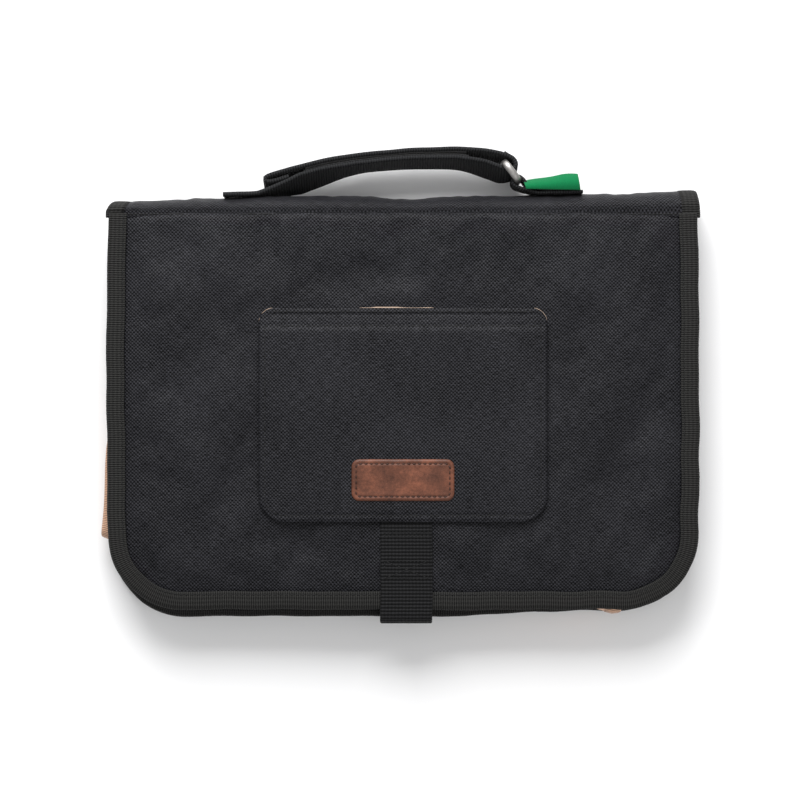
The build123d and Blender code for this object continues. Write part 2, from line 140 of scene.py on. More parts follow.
def grid_faces(rows, cols, start=0, flip=False):
    """Quads of a grid whose points are numbered row by row."""
    faces = []
    for r in range(rows - 1):
        for c in range(cols - 1):
            a = start + r * cols + c
            quad = (a, a + 1, a + cols + 1, a + cols)
            faces.append(quad[::-1] if flip else quad)
    return faces


def slab(name, top, under, uv=None):
    """A closed sheet from two grids of points of the same shape, joined all round."""
    rows, cols = top.shape[:2]
    count = rows * cols
    points = np.concatenate([top.reshape(-1, 3), under.reshape(-1, 3)])
    faces = grid_faces(rows, cols) + grid_faces(rows, cols, count, flip=True)
    rim = [c for c in range(cols)] + [r * cols + cols - 1 for r in range(1, rows)]
    rim += [(rows - 1) * cols + c for c in range(cols - 2, -1, -1)]
    rim += [r * cols for r in range(rows - 2, 0, -1)]
    for a, b in zip(rim, rim[1:] + rim[:1]):
        faces.append((b, a, a + count, b + count))
    if uv is None:
        uv = top[..., :2]
    flat = np.concatenate([uv.reshape(-1, 2), uv.reshape(-1, 2)])
    return add_mesh(name, points, faces, flat)


def tube_faces(rings, sides, closed=False):
    """Quads round a swept closed section; with caps unless the sweep closes on itself."""
    faces = []
    for r in range(rings if closed else rings - 1):
        nxt = (r + 1) % rings
        for s in range(sides):
            t = (s + 1) % sides
            faces.append((r * sides + s, r * sides + t, nxt * sides + t, nxt * sides + s))
    if not closed:
        faces.append(tuple(range(sides))[::-1])
        faces.append(tuple((rings - 1) * sides + s for s in range(sides)))
    return faces


def lengths(path):
    """Distance along a path at each of its points."""
    steps = np.linalg.norm(np.diff(path, axis=0), axis=1)
    return np.concatenate([[0], np.cumsum(steps)])


def resample(path, step):
    """The same path with evenly spaced points."""
    along = lengths(path)
    count = max(2, int(round(along[-1] / step)) + 1)
    spots = np.linspace(0, along[-1], count)
    return np.stack([np.interp(spots, along, path[:, k]) for k in range(path.shape[1])], axis=1)


def curve_through(points, step):
    """A smooth evenly spaced path through given points (Catmull-Rom)."""
    p = np.asarray(points, float)
    p = np.concatenate([[2 * p[0] - p[1]], p, [2 * p[-1] - p[-2]]])
    t = np.linspace(0, 1, 24, endpoint=False)[:, None]
    runs = []
    for a, b, c, d in zip(p, p[1:], p[2:], p[3:]):
        runs.append(0.5 * (
            2 * b + (c - a) * t + (2 * a - 5 * b + 4 * c - d) * t**2 + (3 * b - a - 3 * c + d) * t**3
        ))
    return resample(np.concatenate([*runs, p[-2:-1]]), step)


def rounded_loop(half_wide, half_tall, radius, count):
    """A closed rounded rectangle about the origin, count points to a corner."""
    arc = np.linspace(0, math.pi / 2, count)
    corner = half_wide - radius, half_tall - radius
    quarter = [(corner[0] + radius * math.cos(t), corner[1] + radius * math.sin(t)) for t in arc]
    loop = quarter + [(-x, y) for x, y in quarter[::-1]] + [(-x, -y) for x, y in quarter]
    return np.array(loop + [(x, -y) for x, y in quarter[::-1]] + quarter[:1], float)


def tangents(path):
    """Unit directions along a path."""
    steps = np.gradient(path, axis=0)
    return steps / np.linalg.norm(steps, axis=1, keepdims=True)


def ribbon(name, path, across, width, thick, cols=7):
    """Webbing or tape: a strip of even thickness with rounded edges.

    path is its middle line, across the unit direction of its width at each point.
    """
    along = tangents(path)
    face = np.cross(along, across)
    face /= np.linalg.norm(face, axis=1, keepdims=True)
    half = width / 2
    spots = np.linspace(-1, 1, cols) * (half - thick / 2)
    section = [(s, thick / 2) for s in spots]
    section += [(half - thick * 0.15, thick * 0.3), (half, 0), (half - thick * 0.15, -thick * 0.3)]
    section += [(s, -thick / 2) for s in spots[::-1]]
    section += [(-half + thick * 0.15, -thick * 0.3), (-half, 0), (-half + thick * 0.15, thick * 0.3)]
    run = lengths(path)
    points, uvs = [], []
    for i in range(len(path)):
        for side, up in section:
            points.append(path[i] + across[i] * side + face[i] * up)
            uvs.append((run[i], side))
    return add_mesh(name, points, tube_faces(len(path), len(section)), uvs)


def sweep(name, path, outward, section):
    """A closed section of (outward, height) points swept along a level path."""
    run = lengths(path)
    section = np.asarray(section, float)
    points, uvs = [], []
    round_it = np.concatenate([[0], np.cumsum(np.linalg.norm(np.diff(section, axis=0), axis=1))])
    for i in range(len(path)):
        for k, (out, up) in enumerate(section):
            points.append(path[i] + outward[i] * out + np.array([0, 0, up]))
            uvs.append((run[i], round_it[k]))
    return add_mesh(name, points, tube_faces(len(path), len(section)), uvs)


def stitches(name, path, pitch, length, radius):
    """A row of thread stitches along a path, each a small rounded bar that dives at its ends."""
    spots = resample(path, pitch)
    points, faces = [], []
    profile = ((-0.5, 0.25, -0.6), (-0.36, 0.8, 0.1), (0, 1, 0.45), (0.36, 0.8, 0.1), (0.5, 0.25, -0.6))
    sides = 6
    for spot, way in zip(spots, tangents(spots)):
        side = np.cross(UP, way)
        base = len(points)
        for place, swell, lift in profile:
            centre = spot + way * (place * length) + UP * (lift * radius)
            for s in range(sides):
                turn = 2 * math.pi * s / sides
                points.append(centre + (side * math.cos(turn) + UP * math.sin(turn)) * radius * swell)
        faces += [tuple(base + k for k in f) for f in tube_faces(len(profile), sides)]
    return add_mesh(name, points, faces)


def droop(x, y, z):
    """How the front cover's edge hangs a little, apart from where the strap holds it."""
    corner = (np.abs(x) / HALF_WIDTH) ** 4 * smooth((50 - y) / 150)
    free = smooth((np.abs(x - STRAP_X) - 16) / 50)
    hang = 1.5 * smooth((-50 - y) / 65) + 0.4 * np.sin(x / 23) * smooth((-70 - y) / 40)
    return 0 * x, 0 * x, -2.4 * corner - free * hang


def curl(x, y, z):
    """How the back cover's lower corners lift off the floor."""
    corner = smooth((np.abs(x) - 70) / 100) * smooth((-30 - y) / 90)
    shorter = smooth((x - 15) / 90) * smooth((-70 - y) / 45)
    return 0 * x, 3.2 * shorter, 2.2 * corner


def settle(piece, way=droop):
    """Move every point of a piece by a soft shift of its place."""
    count = len(piece.data.vertices)
    flat = np.empty(count * 3)
    piece.data.vertices.foreach_get("co", flat)
    points = flat.reshape(-1, 3) / MM
    points = points + np.stack(way(*points.T), axis=1)
    piece.data.vertices.foreach_set("co", (points * MM).ravel())
    piece.data.update()
    return piece


CLOTH_STEPS = 20


def inflate(piece, held, grow, pressure, cap, calm=8, stiff=6.0):
    """Let a padded piece crease by itself: cloth a little too large, under pressure, held at seams."""
    mesh = piece.data
    count = len(mesh.vertices)
    before = np.empty(count * 3)
    mesh.vertices.foreach_get("co", before)
    group = piece.vertex_groups.new(name="held")
    weights = np.concatenate([held.ravel(), np.ones(count - held.size)])
    for i, weight in enumerate(weights):
        group.add([i], float(weight), "REPLACE")
    cloth = piece.modifiers.new("cloth", "CLOTH")
    cloth.settings.quality = 4
    cloth.settings.mass = 0.05
    cloth.settings.use_pressure = True
    cloth.settings.uniform_pressure_force = pressure
    cloth.settings.effector_weights.gravity = 0
    cloth.settings.vertex_group_mass = group.name
    cloth.settings.shrink_min = -grow
    cloth.settings.bending_stiffness = stiff
    scene = bpy.context.scene
    for step in range(CLOTH_STEPS):
        scene.frame_set(step + 1)
    shaped = piece.evaluated_get(bpy.context.evaluated_depsgraph_get()).data
    after = np.empty(count * 3)
    shaped.vertices.foreach_get("co", after)
    piece.modifiers.remove(cloth)
    piece.vertex_groups.clear()
    scene.frame_set(1)
    move = np.nan_to_num((after - before).reshape(-1, 3))
    field = move[:held.size].reshape(*held.shape, 3)
    for _ in range(calm):
        padded = np.pad(field, ((1, 1), (1, 1), (0, 0)), mode="edge")
        around = padded[:-2, 1:-1] + padded[2:, 1:-1] + padded[1:-1, :-2] + padded[1:-1, 2:]
        field = 0.4 * field + 0.15 * around
    move[:held.size] = field.reshape(-1, 3)
    size = np.linalg.norm(move, axis=1, keepdims=True) + 1e-9
    limit = cap * MM
    move = move * (limit * np.tanh(size / limit) / size)
    mesh.vertices.foreach_set("co", before + move.ravel())
    mesh.update()


def dress(piece, material, body=None, stands_for=()):
    """Give a finished piece its material, body and the CAD nodes that it stands for."""
    piece.data.materials.clear()
    piece.data.materials.append(material)
    if stands_for:
        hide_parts(*stands_for)
    if body:
        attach(piece, body)
    return piece


# ---- materials ----
class Shader:
    """A node material being built, with short calls for the nodes that are used often."""

    def __init__(self, name, rough, **sockets):
        self.material = bpy.data.materials.new(name)
        self.material.use_nodes = True
        self.tree = self.material.node_tree
        self.bsdf = self.tree.nodes["Principled BSDF"]
        self.bsdf.inputs["Roughness"].default_value = rough
        for socket, value in sockets.items():
            self.bsdf.inputs[socket.replace("_", " ")].default_value = value
        split = self.node("ShaderNodeSeparateXYZ", self.node("ShaderNodeUVMap").outputs[0])
        self.u, self.v = split.outputs[0], split.outputs[1]

    def node(self, kind, *inputs, **settings):
        node = self.tree.nodes.new(kind)
        for key, value in settings.items():
            setattr(node, key, value)
        for socket, value in zip(node.inputs, inputs):
            if value is None:
                continue
            if isinstance(value, bpy.types.NodeSocket):
                self.tree.links.new(value, socket)
            else:
                socket.default_value = value
        return node

    def math(self, operation, a, b=None, c=None):
        return self.node("ShaderNodeMath", a, b, c, operation=operation).outputs[0]

    def wave(self, coordinate, pitch):
        """A sine of that pitch, 0 to 1."""
        turn = self.math("SINE", self.math("MULTIPLY", coordinate, 2 * math.pi / pitch))
        return self.math("MULTIPLY_ADD", turn, 0.5, 0.5)

    def noise(self, scale, stretch=(1, 1), detail=3.0, rough=0.6, space="uv"):
        """Noise over the piece's own cloth coordinates, or over its space."""
        if space == "uv":
            source = self.node(
                "ShaderNodeCombineXYZ",
                self.math("MULTIPLY", self.u, stretch[0]), self.math("MULTIPLY", self.v, stretch[1]), 0.0,
            ).outputs[0]
        else:
            source = self.node("ShaderNodeTexCoord").outputs["Object"]
        node = self.tree.nodes.new("ShaderNodeTexNoise")
        self.tree.links.new(source, node.inputs["Vector"])
        node.inputs["Scale"].default_value = scale
        node.inputs["Detail"].default_value = detail
        node.inputs["Roughness"].default_value = rough
        return node.outputs[0]

    def ramp(self, factor, stops):
        """A colour that follows factor through (place, colour) stops."""
        node = self.node("ShaderNodeValToRGB", factor)
        ramp = node.color_ramp
        while len(ramp.elements) < len(stops):
            ramp.elements.new(0.5)
        for element, (place, colour) in zip(ramp.elements, stops):
            element.position = place
            element.color = (*colour, 1)
        return node.outputs[0]

    def colour(self, socket):
        self.tree.links.new(socket, self.bsdf.inputs["Base Color"])

    def rough(self, socket):
        self.tree.links.new(socket, self.bsdf.inputs["Roughness"])

    def bumps(self, *layers):
        """Stack (height, distance in mm, strength) layers of bump."""
        normal = None
        for height, distance, strength in layers:
            node = self.tree.nodes.new("ShaderNodeBump")
            self.tree.links.new(height, node.inputs["Height"])
            node.inputs["Distance"].default_value = distance * MM
            node.inputs["Strength"].default_value = strength
            if normal:
                self.tree.links.new(normal, node.inputs["Normal"])
            normal = node.outputs[0]
        self.tree.links.new(normal, self.bsdf.inputs["Normal"])


def tint(colour, factor):
    """A colour made lighter or darker."""
    return tuple(c * factor for c in colour)


def woven(name, colour, pitch, sheen=0.03, rough=0.85, tone_and_highlight_spread=0.45, shine=0.12):
    """Plain weave: threads over and under each other, with slubby thicker threads; its colour is lighter on
    yarn crossings and specks as painted highlight and darker between yarns as painted shade, mixed with the
    slubs' and patches' own tone.
    """
    s = Shader(name, rough, Sheen_Weight=sheen, Sheen_Roughness=0.45)
    wander = s.math("MULTIPLY_ADD", s.noise(0.12, (1, 1), 2.0), 1.6, s.v)
    warp = s.math("SINE", s.math("MULTIPLY", s.u, math.pi / pitch))
    weft = s.math("SINE", s.math("MULTIPLY", wander, math.pi / pitch))
    cross = s.math("MULTIPLY_ADD", s.math("MULTIPLY", warp, weft), 0.5, 0.5)
    slub = s.noise(0.9, (0.22, 1.6), 4.0, 0.7)
    # tiny specks: painted yarn highlights in the colour, also used for specular level and bump
    highlight_speck = s.noise(1.3, (1, 1), 3.0, 0.85)
    patches = s.noise(0.02, (1, 1), 2.0, 0.5)
    mix = s.math("MULTIPLY_ADD", slub, 0.55, s.math("MULTIPLY", highlight_speck, 0.6))
    mix = s.math("ADD", mix, s.math("MULTIPLY_ADD", cross, 0.34, s.math("MULTIPLY", patches, 0.14)))
    # painted yarn light and shade: the dark end is painted shade between yarns, the light end painted
    # highlight on crossings and specks; slubs and patches add the cloth's own tone
    low, high = tint(colour, 1 - tone_and_highlight_spread), tint(colour, 1 + 2.8 * tone_and_highlight_spread)
    s.colour(s.ramp(s.math("MULTIPLY", mix, 0.6), ((0.37, low), (0.49, colour), (0.60, high))))
    glint = s.node("ShaderNodeMapRange", mix, 0.6, 1.02, 0.01, shine).outputs[0]
    s.tree.links.new(glint, s.bsdf.inputs["Specular IOR Level"])
    s.bumps((cross, 0.3, 0.8), (slub, 0.3, 0.5), (highlight_speck, 0.2, 0.4))
    return s.material


def ribbed(name, colour, pitch, cross_pitch, depth, light=1.7, sheen=0.25, speckle=0.35):
    """Tape or webbing: ribs across its length, finer threads along it."""
    s = Shader(name, 0.8, Sheen_Weight=sheen, Sheen_Roughness=0.5, Specular_IOR_Level=0.12)
    wobble = s.math("MULTIPLY_ADD", s.noise(0.5, (1, 1), 2.0), 0.5, s.u)
    rib = s.wave(wobble, pitch)
    thread = s.wave(s.v, cross_pitch)
    grain = s.noise(2.2, (1, 1), 3.0, 0.8)
    mix = s.math("MULTIPLY_ADD", rib, 0.35, s.math("MULTIPLY", thread, 0.15))
    mix = s.math("MULTIPLY_ADD", grain, speckle, mix)
    s.colour(s.ramp(mix, ((0.25, tint(colour, 0.35)), (0.45, colour), (0.68, tint(colour, light)))))
    s.bumps((rib, depth, 0.9), (thread, depth * 0.5, 0.5), (grain, 0.15, 0.3))
    return s.material


def fuzzy(name, colour, loops):
    """Hook or loop tape: a dense pile of small nubs."""
    s = Shader(name, 0.95, Sheen_Weight=0.08, Sheen_Roughness=0.6)
    cells = s.tree.nodes.new("ShaderNodeTexVoronoi")
    cells.inputs["Scale"].default_value = loops
    s.tree.links.new(s.node("ShaderNodeTexCoord").outputs["Object"], cells.inputs["Vector"])
    s.colour(s.ramp(cells.outputs["Distance"], ((0.0, tint(colour, 1.7)), (0.6, tint(colour, 0.5)))))
    s.bumps((cells.outputs["Distance"], 0.5, 0.9))
    return s.material


def leather():
    """Brown pull-up leather with fine grain, scuffs and darker pores."""
    brown = (0.100, 0.034, 0.018)
    s = Shader("patch_leather", 0.5, Specular_IOR_Level=0.3)
    grain = s.tree.nodes.new("ShaderNodeTexVoronoi")
    grain.inputs["Scale"].default_value = 900
    s.tree.links.new(s.node("ShaderNodeTexCoord").outputs["Object"], grain.inputs["Vector"])
    cloud = s.noise(70, detail=5.0, space="object")
    scuff = s.noise(600, detail=6.0, rough=0.75, space="object")
    mix = s.math("MULTIPLY_ADD", cloud, 0.6, s.math("MULTIPLY", scuff, 0.4))
    s.colour(s.ramp(mix, ((0.36, tint(brown, 0.5)), (0.5, brown), (0.66, tint(brown, 2.0)))))
    s.rough(s.math("MULTIPLY_ADD", scuff, 0.3, 0.34))
    s.bumps((grain.outputs["Distance"], 0.12, 0.45), (scuff, 0.1, 0.3))
    return s.material


def metal(name, colour, rough):
    """Satin plated metal with fine handling marks."""
    s = Shader(name, rough, Metallic=1.0)
    marks = s.noise(500, detail=5.0, rough=0.7, space="object")
    s.colour(s.ramp(marks, ((0.3, tint(colour, 0.8)), (0.7, tint(colour, 1.15)))))
    s.rough(s.math("MULTIPLY_ADD", marks, 0.25, rough - 0.1))
    s.bumps((marks, 0.03, 0.3))
    return s.material


def plain_grain(name, colour, rough, scale=400, depth=0.08, sheen=0.0):
    """A smooth material with slight mottling: thread, nylon or foam."""
    s = Shader(name, rough, Sheen_Weight=sheen)
    grain = s.noise(scale, detail=3.0, space="object")
    s.colour(s.ramp(grain, ((0.3, tint(colour, 0.75)), (0.7, tint(colour, 1.25)))))
    s.bumps((grain, depth, 0.4))
    return s.material


BLACK = (0.0058, 0.0058, 0.0074)
# strong spread: the black cloth's colour carries painted yarn highlights and painted shade between yarns
CLOTH = woven("cloth_black", BLACK, 1.05, rough=0.55, tone_and_highlight_spread=0.95, shine=0.3)
LINING = woven("cloth_lining", (0.017, 0.017, 0.020), 0.6, sheen=0.12, rough=0.6, tone_and_highlight_spread=0.3)
ZIP_CLOTH = woven("zip_tape_cloth", (0.009, 0.009, 0.010), 0.5, sheen=0.03, rough=0.7, tone_and_highlight_spread=0.4)
PEACH = woven("cloth_peach", (0.66, 0.43, 0.315), 0.6, sheen=0.2, rough=0.7, tone_and_highlight_spread=0.1)
PEACH_EDGE = ribbed("tape_peach", (0.62, 0.38, 0.26), 1.0, 0.6, 0.1, light=1.15, speckle=0.2)
BEIGE = woven("cloth_beige", (0.40, 0.30, 0.23), 0.5, sheen=0.1, tone_and_highlight_spread=0.12)
GROSGRAIN = ribbed("tape_grosgrain", (0.0066, 0.0065, 0.0062), 1.3, 2.4, 0.35,
                   light=4.2, sheen=0.02, speckle=0.6)
WEBBING = ribbed("webbing_black", (0.0042, 0.0042, 0.0045), 2.0, 2.0, 0.5, light=3.8, sheen=0.02, speckle=0.5)
TAIL_WEB = ribbed("webbing_speckled", (0.0046, 0.0047, 0.0050), 1.5, 1.5, 0.5,
                  light=4.6, sheen=0.02, speckle=0.8)
ELASTIC = ribbed("elastic_black", (0.011, 0.011, 0.011), 0.9, 0.9, 0.15, sheen=0.02)
HOOKS = fuzzy("hook_tape", (0.008, 0.008, 0.008), 1100)
LOOPS = fuzzy("loop_tape", (0.009, 0.009, 0.010), 700)
LEATHER = leather()
THREAD = plain_grain("thread_black", (0.0022, 0.0022, 0.0025), 0.85)
BROWN_THREAD = plain_grain("thread_brown", (0.030, 0.009, 0.004), 0.75)
RING_METAL = metal("ring_metal", (0.32, 0.31, 0.30), 0.42)
ZIP_METAL = metal("zip_metal", (0.25, 0.25, 0.26), 0.35)
NYLON = plain_grain("nylon_black", (0.008, 0.008, 0.009), 0.4)
GREEN = ribbed("label_green", (0.0, 0.205, 0.065), 0.5, 0.5, 0.08, light=1.3, sheen=0.1, speckle=0.15)


# ---- covers ----
SIDE_BULGE = 1.4


def cover_half_width(y, bottom, inset):
    """Half the cover's width at a height, with its round bottom corners and soft sides."""
    radius = CORNER_R - inset
    low = bottom + inset
    corner = np.clip(radius - (y - low), 0, radius)
    half = HALF_WIDTH - inset - radius + np.sqrt(np.maximum(radius**2 - corner**2, 0))
    return half + SIDE_BULGE * np.sin(math.pi * np.clip((y - bottom) / (SEAM_Y - bottom), 0, 1)) - SIDE_BULGE


def cover_grid(bottom, inset, top, step=2.2):
    """Rows of (x, y) that fill a cover's outline, denser round its corners."""
    radius = CORNER_R - inset
    turn = np.linspace(0, math.pi / 2, 22)[:-1]
    rows = np.concatenate([
        bottom + inset + radius * (1 - np.cos(turn)),
        np.arange(bottom + inset + radius, top - step / 2, step), [top],
    ])
    half = cover_half_width(rows, bottom, inset)
    cols = int(2 * HALF_WIDTH / step)
    spread = np.linspace(-1, 1, cols)
    return half[:, None] * spread[None, :], np.repeat(rows[:, None], cols, axis=1)


def window_inward(x, y):
    """Distance in from the wipes window's outline."""
    return patch_outline_distance(x, y - WINDOW_Y, 2 * WINDOW_HALF[0], 2 * WINDOW_HALF[1], WINDOW_R)


def cut_window(piece):
    """Open the wipes window in a finished layer; the window's trim covers the cut edge."""
    mesh = bmesh.new()
    mesh.from_mesh(piece.data)
    inside = []
    for face in mesh.faces:
        middle = face.calc_center_median() / MM
        if window_inward(middle.x, middle.y) > -1.5:
            inside.append(face)
    bmesh.ops.delete(mesh, geom=inside, context="FACES")
    rim = [edge for edge in mesh.edges if edge.is_boundary]
    bmesh.ops.bridge_loops(mesh, edges=rim)
    bmesh.ops.recalc_face_normals(mesh, faces=mesh.faces)
    mesh.to_mesh(piece.data)
    mesh.free()
    return piece


def edge_distance(x, y, bottom, inset):
    """Distance in from a cover's outline, sides and bottom only."""
    side = cover_half_width(y, bottom, inset) - np.abs(x)
    return np.minimum(side, y - bottom - inset)


# Creases under the seam: place along it, width, depth. Hollows in the field: x, y, width, height, depth.
PUCKERS = ((-126, 5, 0.55), (-79, 5, 0.8), (-53, 5, 0.9), (4, 6, 0.7), (48, 5, 0.9), (104, 6, 0.6),
           (137, 6, 0.4))
HOLLOWS = ((-101, -46, 16, 30, 0.9), (-62, -84, 10, 22, 0.8), (49, -84, 9, 20, 0.6), (120, -40, 18, 36, 0.7),
           (-120, 30, 16, 34, 0.5), (112, 40, 14, 30, 0.5), (-20, 78, 24, 12, 0.4))


RING_MIRROR = (63.0, 88.0)         # where the ring comes to lie when the cover is open


def front_height(x, y):
    """The front cover's surface: a soft padded field with puckers under the seam."""
    inward = edge_distance(x, y, FRONT_BOTTOM, BINDING)
    z = TOP_Z - 1.9 * np.exp(-np.maximum(inward, 0) / 8) + 0.5 * smooth(inward / 60)
    below = SEAM_Y - y
    z = z - 2.0 * np.exp(-below / 1.5)
    for place, width, depth in PUCKERS:
        drift = place + 0.22 * below * np.sin(place)
        z = z - 2.9 * depth * bump(x, drift, width + 0.12 * below) * smooth(below / 5) * np.exp(-below / 22)
    for cx, cy, wide, tall, depth in HOLLOWS:
        z = z - 2.1 * depth * bump(x, cx + 0.35 * (y - cy), wide) * bump(y, cy, tall)
    free = smooth((np.abs(x) - 70) / 25) + smooth((FLAP_LOW[1] - 2 - y) / 12) + smooth((y - 62) / 14)
    lumps = 0.55 * ripple(x, y, 52, 3) + 0.22 * ripple(x, y, 21, 4)
    z = z + np.clip(free, 0.2, 1) * smooth(inward / 12) * lumps
    return z - 1.6 * bump(x, RING_MIRROR[0], 17) * bump(y, RING_MIRROR[1], 15)


def back_height(x, y):
    """The back cover's underside: flat where it rests, lifting at its bound edge."""
    inward = edge_distance(x, y, BACK_BOTTOM, BINDING)
    return 1.0 * np.exp(-np.maximum(inward, 0) / 5) + 0.15 + 0.12 * ripple(x, y, 60, 8)


def cover_cloth():
    """Padded outer cloth of both covers."""
    x, y = cover_grid(FRONT_BOTTOM, BINDING - 1.5, SEAM_Y - 0.25)
    top = at(x, y, front_height(x, y))
    under = at(x, y, INNER_TOP_Z + 1.05)
    piece = slab("front_cover_cloth", top, under)
    inward = np.minimum(edge_distance(x, y, FRONT_BOTTOM, BINDING), SEAM_Y - y)
    covered = smooth((88 - np.abs(x)) / 8) * smooth((y - FLAP_LOW[1] + 6) / 8) * smooth((62 - y) / 6)
    under_strap = smooth((20 - np.abs(x - STRAP_X)) / 5) * smooth((-50 - y) / 6)
    over_ring = bump(x, RING_MIRROR[0], 22) * bump(y, RING_MIRROR[1], 20)
    held = np.maximum(1 - smooth((inward - 2) / 10), 0.92 * np.maximum(covered, under_strap))
    held = np.maximum(held, over_ring)
    inflate(piece, held, grow=0.012, pressure=1.2, cap=1.1)
    settle(dress(cut_window(piece), CLOTH, "front_cover", ("front_outer", "front_foam")))
    seam = resample(np.array([(-HALF_WIDTH + 11, SEAM_Y - 0.9), (HALF_WIDTH - 11, SEAM_Y - 0.9)], float), 2.0)
    path = np.column_stack([seam, np.full(len(seam), TOP_Z - 1.55)])
    dress(stitches("front_seam_stitches", path, 3.0, 2.8, 0.34), THREAD, "front_cover")
    x, y = cover_grid(BACK_BOTTOM, BINDING - 1.5, SEAM_Y)
    top = at(x, y, INNER_BACK_Z - 1.05)
    under = at(x, y, back_height(x, y))
    piece = slab("back_cover_cloth", top, under)
    settle(dress(piece, CLOTH, "back", ("back_outer", "back_foam")), curl)


def cover_linings():
    """Linings inside both covers, slightly loose."""
    x, y = cover_grid(FRONT_BOTTOM, BINDING - 1.5, SEAM_Y - 0.3, 3.0)
    sag = 0.18 * ripple(x, y, 40, 12) * smooth(edge_distance(x, y, FRONT_BOTTOM, BINDING) / 15)
    top = at(x, y, INNER_TOP_Z + 1.0)
    under = at(x, y, INNER_TOP_Z + 0.25 + sag)
    piece = slab("front_cover_lining", top, under)
    dress(piece, LINING, "front_cover", ("front_lining",))
    settle(cut_window(piece))
    x, y = cover_grid(BACK_BOTTOM, BINDING - 1.5, SEAM_Y, 3.0)
    rise = 0.2 * ripple(x, y, 40, 13) * smooth(edge_distance(x, y, BACK_BOTTOM, BINDING) / 15)
    top = at(x, y, INNER_BACK_Z - 0.25 + rise)
    under = at(x, y, INNER_BACK_Z - 1.0)
    piece = dress(slab("back_cover_lining", top, under), LINING, "back", ("back_lining",))
    settle(piece, curl)


def edge_path(bottom, inset, top, step=1.6):
    """The bound edge from the left end of the seam, down, across and up, and its outward normals."""
    radius = CORNER_R - inset
    turn = np.linspace(0, math.pi / 2, 30)[:-1]
    rows = np.concatenate([
        bottom + inset + radius * (1 - np.cos(turn)), np.linspace(bottom + inset + radius, top, 90),
    ])
    half = cover_half_width(rows, bottom, inset)
    left = np.stack([-half[::-1], rows[::-1]], axis=1)
    across = np.linspace(-half[0], half[0], 130)[1:-1]
    flat = np.stack([across, np.full_like(across, bottom + inset)], axis=1)
    right = np.stack([half, rows], axis=1)
    path = resample(np.concatenate([left, flat, right]), step)
    way = tangents(path)
    out = np.stack([way[:, 1], -way[:, 0], np.zeros(len(way))], axis=1)
    return np.column_stack([path, np.zeros(len(path))]), out


def binding_section(low, high):
    """The tape's folded section, outer skin first and then back along its inside."""
    skin, lip, middle = 0.55, BINDING, (low + high) / 2
    outer = [(-lip, high - 0.35), (-lip + 0.5, high + 0.05), (-lip + 3, high + 0.22), (-4.0, high + 0.38),
             (-1.8, high + 0.22), (-0.6, high - 0.4), (0, middle + 0.4), (0, middle - 0.4),
             (-0.6, low + 0.4), (-1.8, low - 0.02), (-4.0, low - 0.02), (-lip + 0.5, low + 0.02),
             (-lip, low + 0.3)]
    inner = [(-lip + 0.4, low + skin), (-3.8, low + skin), (-1.4, low + skin + 0.5), (-0.9, middle),
             (-1.4, high - skin - 0.3), (-3.8, high - skin + 0.2), (-lip + 0.4, high - skin)]
    return outer + inner


def bindings():
    """Grosgrain tape round both covers, with its stitch line."""
    for name, bottom, low, high, body, node, reach, way in (
        ("front_edge_binding", FRONT_BOTTOM, INNER_TOP_Z, TOP_Z, "front_cover", "front_binding",
         SEAM_Y - 0.3, droop),
        ("back_edge_binding", BACK_BOTTOM, 0.02, INNER_BACK_Z, "back", "back_binding", SEAM_Y, curl),
    ):
        path, out = edge_path(bottom, 0, reach)
        run = lengths(path)
        waver = 0.5 * ripple(run, 0 * run, 44, 21) * smooth(run / 20) * smooth((run[-1] - run) / 20)
        path = path + out * np.minimum(waver, 0.3)[:, None]
        tape = sweep(name, path, out, binding_section(low, high))
        settle(dress(tape, GROSGRAIN, body, (node,)), way)
        line = edge_path(bottom, BINDING - 1.7, reach - 2)[0]
        line[:, 2] = high + 0.16
        settle(dress(stitches(name + "_stitches", line, 3.2, 2.6, 0.26), THREAD, body), way)


# ---- spine ----
CREST = ((-171, 118.5), (-140, 120.2), (-100, 121.6), (-75, 122.4), (-30, 122.4), (5, 120.9), (25, 122.2),
         (60, 122.6), (104, 123.4), (140, 124.6), (171, 125.6))


def crest_y(x):
    """Where the spine's cloth reaches furthest, along the bag."""
    places = np.array(CREST, float)
    fine = curve_through(places, 2.0)
    return np.interp(x, fine[:, 0], fine[:, 1])


def spine_surface(x, turn, drop=0.0):
    """A point on the spine: turn 0 at the back cover's seam, pi at the front cover's seam."""
    reach = (crest_y(x) - SEAM_Y - drop) * np.sin(turn) ** 0.75
    low, high = 0.3 + drop, TOP_Z - 0.75 - drop
    z = (low + high) / 2 - (high - low) / 2 * np.cos(turn)
    z = z - 0.9 * np.exp(-(((math.pi - turn) / 0.16) ** 2))
    return np.stack([x + 0 * turn, SEAM_Y + reach, z], axis=-1)


def seam_fold(piece):
    """Bake a spine piece's placement into its mesh."""
    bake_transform(piece)


